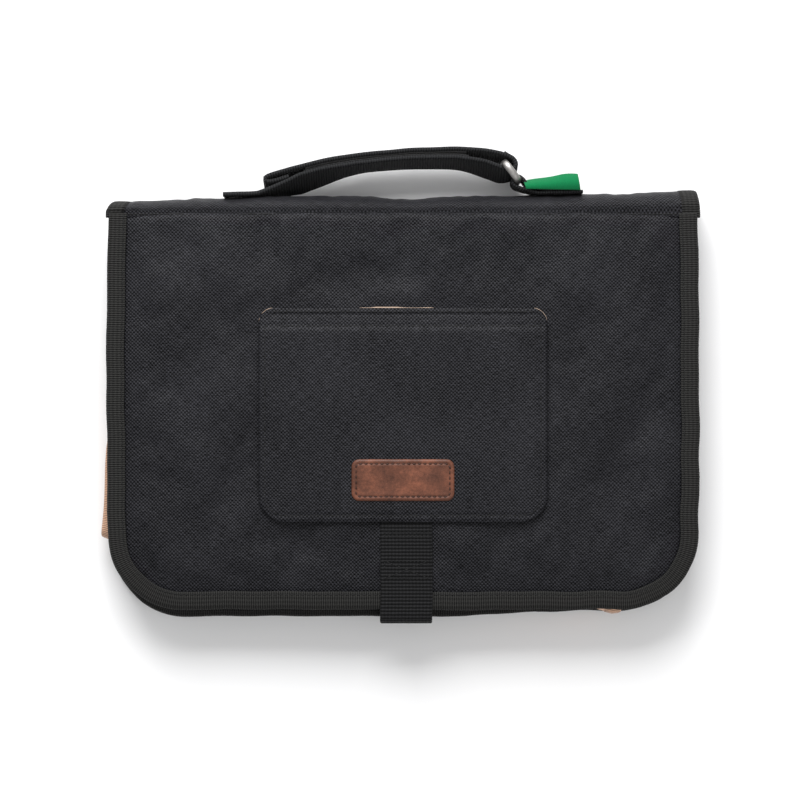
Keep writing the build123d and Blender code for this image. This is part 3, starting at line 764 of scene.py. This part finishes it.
def spine():
    """The spine's cloth, lining and bound ends; its front edge is sewn into the front cover's seam."""
    xs = np.linspace(-HALF_WIDTH + 4.5, HALF_WIDTH - 3, 190)
    turns = np.linspace(0, math.pi, 34)
    x, turn = np.meshgrid(xs, turns)
    crease = (0.45 * ripple(x, turn * 12, 34, 31) + 0.25 * ripple(x, turn * 12, 12, 32)) * np.sin(turn)
    uv_y = SEAM_Y + turn * 14
    lip_x = np.repeat(xs[None, :], 3, axis=0)
    lip_y = SEAM_Y - np.array([[0.9], [1.8], [2.7]]) + 0 * lip_x
    sides = []
    for drop in (0.0, 1.0, 1.1, 1.8):
        skin = spine_surface(x, turn, drop)
        skin[..., 1] += crease
        lip = np.stack([lip_x, lip_y, np.full_like(lip_x, TOP_Z - 1.65 - drop)], axis=-1)
        sides.append(np.concatenate([skin, lip]))
    uv = np.stack([np.concatenate([x, lip_x]), np.concatenate([uv_y, uv_y[-1] + SEAM_Y - lip_y])], axis=-1)
    for name, out, inner, material, slot, node in (
        ("spine_cloth", sides[0], sides[1], CLOTH, "outer_cloth", "spine_outer"),
        ("spine_inner_lining", sides[2], sides[3], LINING, "lining_cloth", "spine_lining"),
    ):
        piece = dress(slab(name, out, inner, uv), material, None, (node,))
        seam_fold(piece)
    for side, name in ((-1, "spine_binding_left"), (1, "spine_binding_right")):
        turns = np.linspace(0.02, math.pi, 60)
        tuck = (3.0 if side < 0 else 1.2) * np.sin(turns)
        middle = spine_surface(side * (HALF_WIDTH - 5.2 - tuck), turns, 0.2)
        ends = middle[-1] - np.array([[0, 0.9, 0], [0, 1.9, 0], [0, 2.9, 0]])
        middle = np.concatenate([middle, ends])
        way = tangents(middle)
        face = np.cross(np.tile([1.0, 0, 0], (len(middle), 1)), way) * -1
        points, uvs = [], []
        run = lengths(middle)
        section = [(-5.0, 0.5), (-2.5, 0.75), (2.0, 0.85), (4.2, 0.7), (5.3, 0.2), (5.6, -0.9), (5.2, -2.0),
                   (4.0, -2.6), (-5.0, -2.3), (-5.0, -1.7), (3.6, -1.9), (4.4, -1.2),
                   (4.2, -0.4), (-4.6, 0.0)]
        for i in range(len(middle)):
            for over, up in section:
                points.append(middle[i] + np.array([side * over, 0, 0]) + face[i] * up)
                uvs.append((run[i], over + up))
        faces = tube_faces(len(middle), len(section))
        if side < 0:
            faces = [f[::-1] for f in faces]
        seam_fold(dress(add_mesh(name, points, faces, uvs), GROSGRAIN))


# ---- wipes flap ----
PAD_WIDTH = 22.0


def soft_steps(low, high, count):
    """Places from low to high, close together at both ends for a soft edge."""
    span = high - low
    middle = np.linspace(1.5, span - 1.5, count)
    return np.concatenate([[0, 0.3, 0.8], middle, span - np.array([0.8, 0.3, 0])]) + low


def tiles(name, node, material, body, split=False, upright=False):
    """A flat tab, pad or tape from its CAD box, with soft edges; split gives one at each end of the box."""
    low, high = cad(node)
    spans = [(low[0], high[0])]
    if split:
        spans = [(low[0], low[0] + PAD_WIDTH), (high[0] - PAD_WIDTH, high[0])]
    up = 1 if upright else 2
    level = 2 if upright else 1
    for k, (left, right) in enumerate(spans):
        a, b = np.meshgrid(soft_steps(left, right, 60), soft_steps(low[level], high[level], 12))
        inward = np.minimum(np.minimum(a - left, right - a), np.minimum(b - low[level], high[level] - b))
        half = (high[up] - low[up]) / 2 * (0.45 + 0.55 * np.sqrt(smooth(inward / 0.9)))
        middle = (high[up] + low[up]) / 2
        top, under = np.empty((*a.shape, 3)), np.empty((*a.shape, 3))
        for grid, sign in ((top, -1 if upright else 1), (under, 1 if upright else -1)):
            grid[..., 0], grid[..., level], grid[..., up] = a, b, middle + sign * half
        piece = slab(f"{name}_{k + 1}" if split else name, top, under, np.stack([a, b], axis=-1))
        dress(piece, material, body, (node,) if k == 0 else ())


FLAP_TOP_R, FLAP_LOW_R = 9.0, 15.0
TOPSTITCH = 3.6


def flap_half_width(y, grow=0.0):
    """Half the flap's width at a height; all four corners are round."""
    half = (FLAP_HIGH[0] - FLAP_LOW[0]) / 2 + grow
    top, bottom, top_r, low_r = HEADER_HIGH[1] + grow, FLAP_LOW[1] - grow, FLAP_TOP_R, FLAP_LOW_R
    low = np.clip(low_r - (y - bottom), 0, low_r)
    high = np.clip(top_r - (top - y), 0, top_r)
    return half - low_r + np.sqrt(low_r**2 - low**2) - top_r + np.sqrt(np.maximum(top_r**2 - high**2, 0))


def flap_grid(grow=0.0, step=1.5):
    """Rows of (x, y) that fill the flap's outline."""
    bottom, top = FLAP_LOW[1] - grow, HEADER_HIGH[1] + grow
    turn = np.linspace(0, math.pi / 2, 16)[:-1]
    rows = np.concatenate([
        bottom + FLAP_LOW_R * (1 - np.cos(turn)), np.arange(bottom + FLAP_LOW_R, top - FLAP_TOP_R, step),
        top - FLAP_TOP_R * (1 - np.sin(turn)), [top],
    ])
    cols = int((FLAP_HIGH[0] - FLAP_LOW[0]) / step)
    x = flap_half_width(rows, grow)[:, None] * np.linspace(-1, 1, cols)[None, :]
    return x, np.repeat(rows[:, None], cols, 1)


def flap_inward(x, y):
    """Distance in from the flap's edge."""
    return np.minimum(flap_half_width(y) - np.abs(x), np.minimum(y - FLAP_LOW[1], HEADER_HIGH[1] - y))


def flap_height(x, y):
    """The flap's upper surface: sunk at its fold and topstitching, softly padded between."""
    inward = flap_inward(x, y)
    sewn = smooth((y - FLAP_SEAM + 3) / 8)
    z = (FLAP_HIGH[2] + 0.05) * (1 - sewn) + (TOP_Z + 1.9) * sewn
    z = z - 0.75 * np.exp(-((inward / 1.5) ** 2)) - 0.6 * bump(inward, TOPSTITCH, 1.0)
    z = z - 0.8 * bump(y, FLAP_SEAM, 1.3)
    z = z + 0.35 * smooth((inward - TOPSTITCH) / 14) * (1 - sewn)
    z = z + 0.16 * ripple(x, y, 34, 41) * smooth(inward / 8)
    from_patch = np.abs(y - (PATCH_LOW[1] + PATCH_HIGH[1]) / 2)
    patch = smooth((6 - from_patch + 12) / 6) * smooth((38 - np.abs(x)) / 6)
    return z - (z - FLAP_HIGH[2] - 0.05) * patch


def flap_fold(piece):
    """Bake a flap piece's placement into its mesh."""
    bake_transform(piece)


def wipes_flap():
    """Flap cloth and lining in one run with their header, topstitching and fastening pads."""
    x, y = flap_grid()
    top = at(x, y, flap_height(x, y))
    under = top - np.array([0, 0, 1.0])
    piece = slab("wipes_flap_cloth", top, under)
    dress(piece, CLOTH, None, ("flap_outer", "flap_header"))
    flap_fold(piece)
    x, y = flap_grid(-0.9)
    corner = smooth((np.abs(x) - 66) / 10) * smooth((y - 43) / 7)
    middle = smooth((y - 50) / 5) * smooth((30 - np.abs(x + 4)) / 12)
    over_x = x + np.sign(x) * corner * 1.05
    over_y = y + 1.1 * corner + 1.5 * middle
    ply = flap_height(x, y) - 0.95
    top = at(over_x, over_y, ply)
    under = at(over_x, over_y, ply - 0.5)
    piece = dress(slab("wipes_flap_lining", top, under), BEIGE, None, ("flap_lining",))
    flap_fold(piece)
    turn = np.linspace(0, math.pi / 2, 14)
    radius = FLAP_LOW_R - TOPSTITCH
    half = FLAP_HIGH[0] - TOPSTITCH
    base = FLAP_LOW[1] + TOPSTITCH
    side = [(-half, v) for v in np.linspace(FLAP_SEAM, base + radius, 40)]
    side += [(-half + radius * (1 - math.cos(t)), base + radius * (1 - math.sin(t))) for t in turn]
    line = side + [(-v[0], v[1]) for v in side[::-1]]
    seam = [(v, FLAP_SEAM) for v in np.linspace(-half + 1, half - 1, 80)]
    header = [(v, HEADER_HIGH[1] - 2.2) for v in np.linspace(-half + 6, half - 6, 80)]
    for name, points, folds in (("flap_topstitch", line, True), ("flap_fold_stitch", seam, False),
                                ("flap_header_stitch", header, False)):
        flat = resample(np.array(points, float), 1.5)
        z = flap_height(flat[:, 0], flat[:, 1])
        path = np.column_stack([flat, z + 0.05])
        row = stitches(name, path, 3.0, 2.2, 0.33)
        dress(row, THREAD, None if folds else "front_cover")
        if folds:
            flap_fold(row)
    tiles("flap_loop_pad_pair", "flap_loop_pads", LOOPS, "front_cover", split=True)
    tiles("flap_hook_pad_pair", "flap_hook_pads", HOOKS, "wipes_flap", split=True)


def patch_outline_distance(x, y, wide, tall, radius):
    """Signed distance in from a rounded rectangle."""
    dx = np.abs(x) - (wide / 2 - radius)
    dy = np.abs(y) - (tall / 2 - radius)
    outside = np.hypot(np.maximum(dx, 0), np.maximum(dy, 0)) + np.minimum(np.maximum(dx, dy), 0)
    return radius - outside


PATCH_STITCH = 2.6


def leather_patch():
    """The stitched patch, its face left plain."""
    centre = (PATCH_LOW + PATCH_HIGH) / 2
    wide, tall, radius = PATCH_HIGH[0] - PATCH_LOW[0], PATCH_HIGH[1] - PATCH_LOW[1], 4.6
    rows = np.linspace(-tall / 2, tall / 2, 86)
    corner = np.clip(np.abs(rows) - (tall / 2 - radius), 0, radius)
    half = wide / 2 - radius + np.sqrt(np.maximum(radius**2 - corner**2, 0))
    spread = np.linspace(-1, 1, 210)
    x = half[:, None] * spread[None, :]
    y = np.repeat(rows[:, None], 210, axis=1)
    inward = patch_outline_distance(x, y, wide, tall, radius)
    z = PATCH_HIGH[2] - 0.75 * np.exp(-((np.maximum(inward, 0) / 0.6) ** 1.5))
    z = z - 0.3 * bump(inward, PATCH_STITCH, 0.6)
    z += 0.14 * ripple(x, y, 16, 51) * smooth(inward / 3) - 0.12 * smooth((inward - 3) / 3)
    top = at(x, y + centre[1], z)
    under = at(x, y + centre[1], PATCH_LOW[2] + 0.05)
    dress(slab("leather_patch_piece", top, under), LEATHER, "wipes_flap", ("leather_patch",))
    loop = rounded_loop(wide / 2 - PATCH_STITCH, tall / 2 - PATCH_STITCH, radius - PATCH_STITCH, 10)
    flat = resample(loop, 1.0)
    path = np.column_stack([flat[:, 0], flat[:, 1] + centre[1], np.full(len(flat), PATCH_HIGH[2] - 0.22)])
    dress(stitches("patch_stitches", path, 3.1, 2.1, 0.38), BROWN_THREAD, "wipes_flap")


def window_trim():
    """Tape folded over the edge of the wipes window, inside and out."""
    flat = resample(rounded_loop(*WINDOW_HALF, WINDOW_R, 24), 1.2)
    way = tangents(flat)
    way[-1] = way[0]
    out = np.stack([way[:, 1], -way[:, 0], np.zeros(len(way))], axis=1)
    path = np.column_stack([flat[:, 0], flat[:, 1] + WINDOW_Y, np.zeros(len(flat))])
    high, low = TRIM_HIGH[2] + 0.1, INNER_TOP_Z + 0.1
    section = [(TRIM, high - 0.5), (TRIM - 0.6, high), (TRIM / 2, high + 0.05), (1.0, high),
               (0.1, high - 0.5), (0, (low + high) / 2), (0.1, low + 0.3), (1.0, low), (TRIM - 1, low),
               (TRIM - 1, low + 0.5),
               (1.4, low + 0.6), (0.8, low + 1.0), (0.8, high - 1.2), (1.4, high - 0.7), (TRIM, high - 0.9)]
    piece = sweep("window_edge_trim", path, out, section)
    dress(piece, GROSGRAIN, "front_cover", ("window_trim",))


# ---- closure strap ----
def closure_strap():
    """One length of webbing: sewn down on the cover, then free over the bottom edge."""
    face_y = STRAP_LOW[1]
    lift = 0.85
    spots = [(-56, TOP_Z + lift), (-75, TOP_Z + lift), (-99, TOP_Z + lift), (-108, TOP_Z + lift + 0.1),
             (-116, TOP_Z + lift + 0.1), (-120.5, TOP_Z + lift - 0.1), (face_y + 2.2, TOP_Z - 1.0),
             (face_y + 0.95, TOP_Z - 4.5), (face_y + 0.75, 22), (face_y + 0.75, 12), (face_y + 0.75, 5.2)]
    line = curve_through(spots, 1.2)
    path = np.column_stack([np.full(len(line), STRAP_X), line])
    path[:, 0] += 0.3 * ripple(line[:, 0], 0 * line[:, 0], 40, 61)
    across = np.tile([1.0, 0, 0], (len(path), 1))
    piece = ribbon("closure_strap_webbing", path, across, 30.0, 1.5, 15)
    dress(piece, WEBBING, None, ("closure_strap_base", "closure_strap_tail"))
    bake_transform(piece)
    left, right = STRAP_X - 12.5, STRAP_X + 12.5
    rows = [[(left, -98.5), (right, -98.5), (right, -88.5), (left, -88.5), (left, -98.5), (right, -88.5)],
            [(right, -98.5), (left, -88.5)], [(left, -72), (right, -72)], [(left, -73.8), (right, -73.8)]]
    for k, corners in enumerate(rows):
        flat = resample(np.array(corners, float), 0.8)
        path = np.column_stack([flat, np.full(len(flat), TOP_Z + lift + 0.74)])
        dress(stitches(f"strap_box_stitch_{k + 1}", path, 2.2, 1.8, 0.26), THREAD, "front_cover")
    tiles("closure_landing_patch", "closure_landing_tab", GROSGRAIN, "back", upright=True)
    tiles("closure_loop_patch", "closure_loop_pad", LOOPS, "back", upright=True)
    tiles("closure_hook_patch", "closure_hook_pad", HOOKS, "closure_strap", upright=True)


# ---- handle ----
WEB = 25.0
WEB_THICK = 2.5
HANDLE_LINE = ((-104, None), (-96, None), (-84, None), (-72, 126.2), (-59.4, 130), (-48, 133.7), (-34, 137.6),
               (-21, 140), (2, 142), (27, 142.3), (37, 141.2), (48, 138.4), (56, 135.6), (61.3, 134.9),
               (65.2, 137.4), (63.8, 141.4), (58.5, 144.0))
HANDLE_LEAN = ((-104, 0), (-84, 0), (-72, 5), (-59.4, 10), (-48, 8.6), (-34, 5), (-21, 3.6), (2, 4.3),
               (27, 4.9), (37, 5.7), (48, 8), (56, 8), (61, 5), (66, 4.5))
TAIL_LINE = ((60.5, 143.4), (56, 144.7), (46, 146.2), (27, 147), (2, 146.5), (-21, 144.6), (-40, 141.7),
             (-59, 137), (-69, 134.2), (-76.5, 131.9), (-79.8, 129.9), (-78, 128.1), (-73, 128.9),
             (-66, 131.0))
TAIL_LEAN = ((-78, 6), (-59, 5), (-40, 4.6), (-21, 3.6), (2, 4.3), (27, 4.9), (46, 5.6), (56, 5), (62, 4.5))


def level_normals(path):
    """Level directions square to a path, to its left."""
    side = tangents(path)
    out = np.stack([-side[:, 1], side[:, 0], 0 * side[:, 0]], axis=1)
    return out / np.linalg.norm(out, axis=1, keepdims=True)


def handle_across(path, leans):
    """The webbing's width direction: upright, its low edge leaning towards the bag by a varying amount."""
    lean = np.interp(path[:, 0], [p for p, _ in leans], [v for _, v in leans])
    across = np.stack([0 * lean, lean, np.sqrt(WEB**2 - lean**2)], axis=1)
    return across / np.linalg.norm(across, axis=1, keepdims=True)


def handle():
    """Inner strap sewn to the spine at its left, folded back round the ring's bar, tapes between."""
    line = [(x, crest_y(x) + WEB_THICK / 2 + 0.2 if y is None else y) for x, y in HANDLE_LINE]
    flat = curve_through(line, 1.2)
    path = np.column_stack([flat, np.full(len(flat), SPINE_Z)])
    piece = ribbon("handle_inner_strap", path, handle_across(path, HANDLE_LEAN), WEB, WEB_THICK, 13)
    dress(piece, TAIL_WEB, None, ("handle_strap", "handle_anchor_left"))
    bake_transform(piece)
    tail_flat = curve_through(TAIL_LINE, 1.2)
    tail = np.column_stack([tail_flat, np.full(len(tail_flat), SPINE_Z)])
    tail[:, 1] += 0.25 * ripple(tail[:, 0], 0 * tail[:, 0], 28, 71)
    piece = ribbon("handle_tail_webbing", tail, handle_across(tail, TAIL_LEAN), WEB - 0.6, WEB_THICK, 13)
    dress(piece, TAIL_WEB, None, ("handle_tail",))
    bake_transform(piece)
    for name, source, leans, node, body, material in (
        ("handle_loop_tape_piece", path, HANDLE_LEAN, "handle_loop_tape", "handle", LOOPS),
        ("handle_hook_tape_piece", tail, TAIL_LEAN, "handle_hook_tape", "handle_fastening", HOOKS),
    ):
        near = source[(source[:, 0] > -58) & (source[:, 0] < 38)]
        tape = near + level_normals(near) * (WEB_THICK / 2 + 0.4)
        piece = ribbon(name, tape, handle_across(tape, leans), 22, 0.8)
        if body == "handle":
            dress(piece, material, None, (node,))
            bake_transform(piece)
        else:
            dress(piece, material, body, (node,))


def right_anchor():
    """Webbing sewn to the spine at the right, looping round the ring's near bar."""
    thick = 1.9
    anchor = thick / 2 + 0.2
    line = [(x, crest_y(x) + anchor) for x in (104, 96, 86, 78)]
    line += [(72.5, 125.4), (68.0, 126.6), (64.3, 128.4), (63.6, 131.4), (66.0, 133.6), (69.2, 132.0),
             (71.5, 129.2), (75.5, 127.3), (82, crest_y(82) + anchor + thick + 0.1),
             (92, crest_y(92) + anchor + thick + 0.1), (102, crest_y(102) + anchor + thick + 0.1)]
    flat = curve_through(line, 1.0)
    path = np.column_stack([flat, np.full(len(flat), SPINE_Z)])
    across = np.tile([0, 0, 1.0], (len(path), 1))
    piece = ribbon("right_anchor_webbing", path, across, WEB - 1, thick, 11)
    dress(piece, TAIL_WEB, None, ("handle_anchor_right", "ring_loop"))
    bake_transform(piece)


RING_SHORT, RING_LONG, RING_CORNER = 6.9, 14.4, 5.2
RING_BAR, RING_DEPTH = 1.35, 2.2


def ring():
    """The oval metal ring, standing edge-on."""
    low, high = cad("handle_ring")
    centre = (low + high) / 2
    span = np.array([high[0] - low[0], low[1] - high[1]])
    turn = math.atan2(span[1], span[0])
    along = np.array([math.cos(turn), math.sin(turn), 0])
    flat = resample(rounded_loop(RING_SHORT, RING_LONG, RING_CORNER, 12), 1.0)[:-1]
    normal = np.cross(along, UP)
    points, sides = [], 14
    way = np.roll(flat, -1, axis=0) - np.roll(flat, 1, axis=0)
    way /= np.linalg.norm(way, axis=1, keepdims=True)
    for spot, step in zip(flat, way):
        out = np.array([step[1], -step[0]])
        for s in range(sides):
            t = 2 * math.pi * s / sides
            place = spot + out * RING_BAR * math.cos(t)
            points.append(centre + along * place[0] + UP * place[1] + normal * RING_DEPTH * math.sin(t))
    piece = add_mesh("ring_piece", points, tube_faces(len(flat), sides, closed=True))
    dress(piece, RING_METAL, "handle", ("handle_ring",))


def side_label():
    """A woven label sewn in with the right anchor, twisting as it stands out."""
    u, v = np.meshgrid(np.linspace(0, 1, 40), np.linspace(0, 1, 18))
    x = 71 + 31.5 * u - 1.5 * v
    low = 125.8 - 0.6 * u
    high = 131.0 + 3.6 * smooth(u * 1.3) + 0.4 * np.sin(9 * u)
    y = low + (high - low) * v
    z = 30.4 - 0.5 * u + 1.8 * np.sin(math.pi * v) * (0.6 + 0.4 * u) - 4.5 * v**2 * (1 - 0.5 * u)
    top = at(x, y, z)
    under = top - np.array([0, 0, 0.5])
    piece = slab("side_label_piece", top, under, np.stack([x, y], axis=-1))
    dress(piece, GREEN, "back", ("side_label",))


# ---- mat ----
def askew(x, y, z):
    """How the mat bulges past the covers at its left end and at its lower right corner."""
    left = smooth((-145 - x) / 30) * bump(y, -18, 30)
    corner = bump(x, 123, 7) * smooth((-95 - y) / 20)
    return -4.9 * left, -2.1 * corner, 0 * x


MAT_TURN = math.radians(-8)
MAT_CORNER = (-175.0, -77.0)
MAT_LENGTH, MAT_DEPTH, MAT_LEAF = 304.0, 180.0, 6.0


def mat():
    """A padded mat folded in three, lying askew, with soft rounded folds and bound short ends."""
    along = np.array([math.cos(MAT_TURN), math.sin(MAT_TURN), 0])
    over = np.array([-math.sin(MAT_TURN), math.cos(MAT_TURN), 0])
    corner = np.array([*MAT_CORNER, 0])
    length, depth, leaf, base = MAT_LENGTH, MAT_DEPTH, MAT_LEAF, 4.3
    pitch = leaf + 0.4
    fold_r = pitch / 2
    inset = fold_r + leaf / 2
    z0 = base + leaf / 2
    line = [(2.0, z0)] + [(v, z0) for v in np.linspace(8, depth - inset, 24)]
    arc = np.linspace(-math.pi / 2, math.pi / 2, 11)[1:-1]
    line += [(depth - inset + fold_r * math.cos(t), z0 + fold_r + fold_r * math.sin(t)) for t in arc]
    line += [(v, z0 + pitch) for v in np.linspace(depth - inset, inset, 24)]
    line += [(inset - fold_r * math.cos(t), z0 + pitch + fold_r + fold_r * math.sin(t)) for t in arc]
    line += [(v, z0 + 2 * pitch) for v in np.linspace(inset, depth - 8, 24)] + [(depth - 2.0, z0 + 2 * pitch)]
    line = resample(np.array(line, float), 2.6)
    way = tangents(line)
    out = np.stack([-way[:, 1], way[:, 0]], axis=1)
    ends = np.array([0, 0.5, 1.5, 3.2])
    us = np.concatenate([ends, np.linspace(5, length - 5, 110), length - ends[::-1]])
    run = lengths(line)
    u, s = np.meshgrid(us, run)
    edge = np.minimum(np.minimum(u, length - u), np.minimum(s, run[-1] - s))
    half = leaf / 2 * (0.38 + 0.55 * smooth(edge / 9)) + 0.05
    quilt = 0.16 * ripple(u, s, 30, 81) * smooth(edge / 14)
    half = np.minimum(half + quilt, leaf / 2 + 0.1)
    corner_r = 12.0
    trim = np.zeros_like(u)
    for end in (0, run[-1]):
        near = np.clip(corner_r - np.abs(s - end), 0, corner_r)
        trim = np.maximum(trim, corner_r - np.sqrt(np.maximum(corner_r**2 - near**2, 0)))
    u_in = np.clip(u, trim, length - 0.3 * trim)
    place = corner + along * u_in[..., None] + over * line[:, 0][:, None, None]
    place[..., 2] = line[:, 1][:, None]
    normal = over * out[:, 0][:, None, None] + UP * out[:, 1][:, None, None]
    rumple = 0.55 * ripple(u, s, 42, 83) * smooth((edge - 12) / 20) * smooth((s - 2 * run[-1] / 3 - 12) / 20)
    top = place + normal * (half + np.minimum(rumple, 0.45))[..., None]
    under = place - normal * half[..., None]
    piece = settle(slab("changing_mat_cloth", top, under, np.stack([u, s], axis=-1)), askew)
    dress(piece, PEACH, "mat", ("changing_mat",))
    for name, start, node in (
        ("mat_end_tape_left", 0.0, "mat_tape_left"), ("mat_end_tape_right", length, "mat_tape_right"),
    ):
        sign = 1 if start == 0 else -1
        points, uvs = [], []
        section = [(-0.6, 0), (-0.3, 1.35), (1.2, 1.9), (4.5, 2.7), (9.0, 3.15), (9.0, 2.85), (4.5, 2.35),
                   (1.2, 1.5)]
        section += [(1.2, -1.5), (4.5, -2.35), (9.0, -2.85), (9.0, -3.15), (4.5, -2.7), (1.2, -1.9),
                    (-0.3, -1.35)]
        for spot, face in zip(line[3:-3], out[3:-3]):
            for inn, up in section:
                base_point = corner + along * (start + sign * inn) + over * spot[0]
                base_point = base_point + np.array([0, 0, spot[1]])
                points.append(base_point + (over * face[0] + np.array([0, 0, face[1]])) * up)
                uvs.append((spot[0] + spot[1], inn))
        faces = tube_faces(len(line) - 6, len(section))
        if sign > 0:
            faces = [f[::-1] for f in faces]
        dress(settle(add_mesh(name, points, faces, uvs), askew), PEACH_EDGE, "mat", (node,))


def mat_band():
    """The elastic band over the mat, sewn to the back lining."""
    low, high = cad("mat_band")
    z = high[2] - 0.5
    base = INNER_BACK_Z - 0.2
    spots = [(low[1] - 9, base + 0.6), (low[1] - 1.5, base + 0.7), (low[1] + 0.4, base + 2.5),
             (low[1] + 0.6, 14), (low[1] + 1.2, z - 2), (low[1] + 4, z - 0.1), (-40, z), (30, z),
             (high[1] - 4, z - 0.1),
             (high[1] - 1.2, z - 2), (high[1] - 0.6, 14), (high[1] - 0.4, base + 2.5),
             (high[1] + 1.5, base + 0.7), (high[1] + 9, base + 0.6)]
    line = curve_through(spots, 1.5)
    path = np.column_stack([0 * line[:, 0], line])
    across = np.tile([1.0, 0, 0], (len(path), 1))
    dress(ribbon("mat_elastic_band", path, across, 25, 0.9, 11), ELASTIC, "back", ("mat_band",))


# ---- pocket and zip ----
def wipes_pocket():
    """The pocket panel inside the front cover, gathered a little below its zip."""
    low, high = cad("wipes_pocket")
    x, y = np.meshgrid(np.linspace(low[0], high[0], 110), np.linspace(low[1], high[1], 70))
    inward = np.minimum(np.minimum(x - low[0], high[0] - x), np.minimum(y - low[1], high[1] - y))
    z = low[2] + 0.35 - 0.28 * smooth(inward / 10) + 0.14 * ripple(x, y, 32, 91) * smooth(inward / 8)
    z += 0.1 * np.sin(x / 7) * smooth((y - high[1] + 25) / 25)
    under = at(x, y, z)
    top = at(x, y, low[2] + 0.95)
    piece = slab("wipes_pocket_panel", top, under)
    dress(piece, LINING, "front_cover", ("wipes_pocket",))
    settle(piece)
    for node in ("zip_tape_lower", "zip_tape_upper"):
        tiles(node + "_piece", node, ZIP_CLOTH, "front_cover")


def zip_coil():
    """Two rows of interlocked nylon loops."""
    low, high = cad("zip_coil")
    middle = (low + high) / 2
    points, faces = [], []
    sides, pitch = 6, 1.6
    count = int((high[0] - low[0]) / pitch)
    for k in range(count):
        x = low[0] + pitch * (k + 0.5)
        flip = 1 if k % 2 else -1
        arc = np.linspace(0, math.pi, 6)
        loop = [(x, middle[1] + flip * 1.35, middle[2] + 0.15)]
        loop += [(x + 0.1 * math.sin(t), middle[1] - flip * 0.35 * math.sin(t) + flip * 0.4 * math.cos(t),
                  middle[2] + 0.1 - 0.12 * math.sin(t)) for t in arc]
        base = len(points)
        spine_line = np.array(loop)
        for p in spine_line:
            for s in range(sides):
                t = 2 * math.pi * s / sides
                points.append(p + np.array([0.46 * math.cos(t), 0, 0.36 * math.sin(t)]))
        faces += [tuple(base + i for i in f) for f in tube_faces(len(spine_line), sides)]
    dress(add_mesh("zip_coil_teeth", points, faces), NYLON, "front_cover", ("zip_coil",))


def keep_cad(node, material):
    """A CAD piece whose shape is right keeps its mesh and gets its full material."""
    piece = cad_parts[node]
    piece.data.materials.clear()
    piece.data.materials.append(material)


cover_cloth()
cover_linings()
bindings()
spine()
window_trim()
wipes_flap()
leather_patch()
closure_strap()
handle()
right_anchor()
ring()
side_label()
mat()
mat_band()
wipes_pocket()
zip_coil()
for node in ("zip_stops", "zip_slider", "zip_pull"):
    keep_cad(node, ZIP_METAL)


# ---- stage, light and camera ----
FLOOR_REACH = 3000
FLOOR_Z = -0.3       # the spine's bound ends sag about this far below zero


def stage():
    """A pale floor under the bag."""
    corners = [(a * FLOOR_REACH, b * FLOOR_REACH, FLOOR_Z) for a, b in ((-1, -1), (1, -1), (1, 1), (-1, 1))]
    floor = add_mesh("floor", corners, [(0, 1, 2, 3)])
    s = Shader("floor_white", 0.9)
    s.bsdf.inputs["Base Color"].default_value = (0.86, 0.86, 0.865, 1)
    floor.data.materials.append(s.material)


def area_light(name, place, size, power, aim=(0, 0, 0)):
    """A soft square light aimed at a point."""
    data = bpy.data.lights.new(name, "AREA")
    data.shape, data.size, data.energy = "SQUARE", size, power
    light = bpy.data.objects.new(name, data)
    light.location = place
    way = np.array(aim, float) - np.array(place, float)
    light.rotation_euler = (
        math.atan2(math.hypot(way[0], way[1]), -way[2]), 0, math.atan2(way[1], way[0]) - math.pi / 2)
    bpy.context.scene.collection.objects.link(light)


def light_and_camera():
    """Soft studio light from the handle side, and a camera straight above."""
    scene = bpy.context.scene
    world = bpy.data.worlds.new("studio")
    world.use_nodes = True
    world.node_tree.nodes["Background"].inputs[0].default_value = (1, 1, 1, 1)
    world.node_tree.nodes["Background"].inputs[1].default_value = 0.62
    scene.world = world
    area_light("key", (-0.2, 1.2, 0.95), 1.0, 38)
    area_light("fill", (0.8, -0.6, 1.5), 1.2, 5)
    distance, span = 1.6, 0.4616
    data = bpy.data.cameras.new("camera")
    data.sensor_width = 36
    data.lens = 36 * distance / span
    data.clip_end = 20
    camera = bpy.data.objects.new("camera", data)
    camera.location = (-0.0017, 0.004, distance + 0.03)
    scene.collection.objects.link(camera)
    scene.camera = camera
    scene.view_settings.view_transform = "Standard"


stage()
light_and_camera()
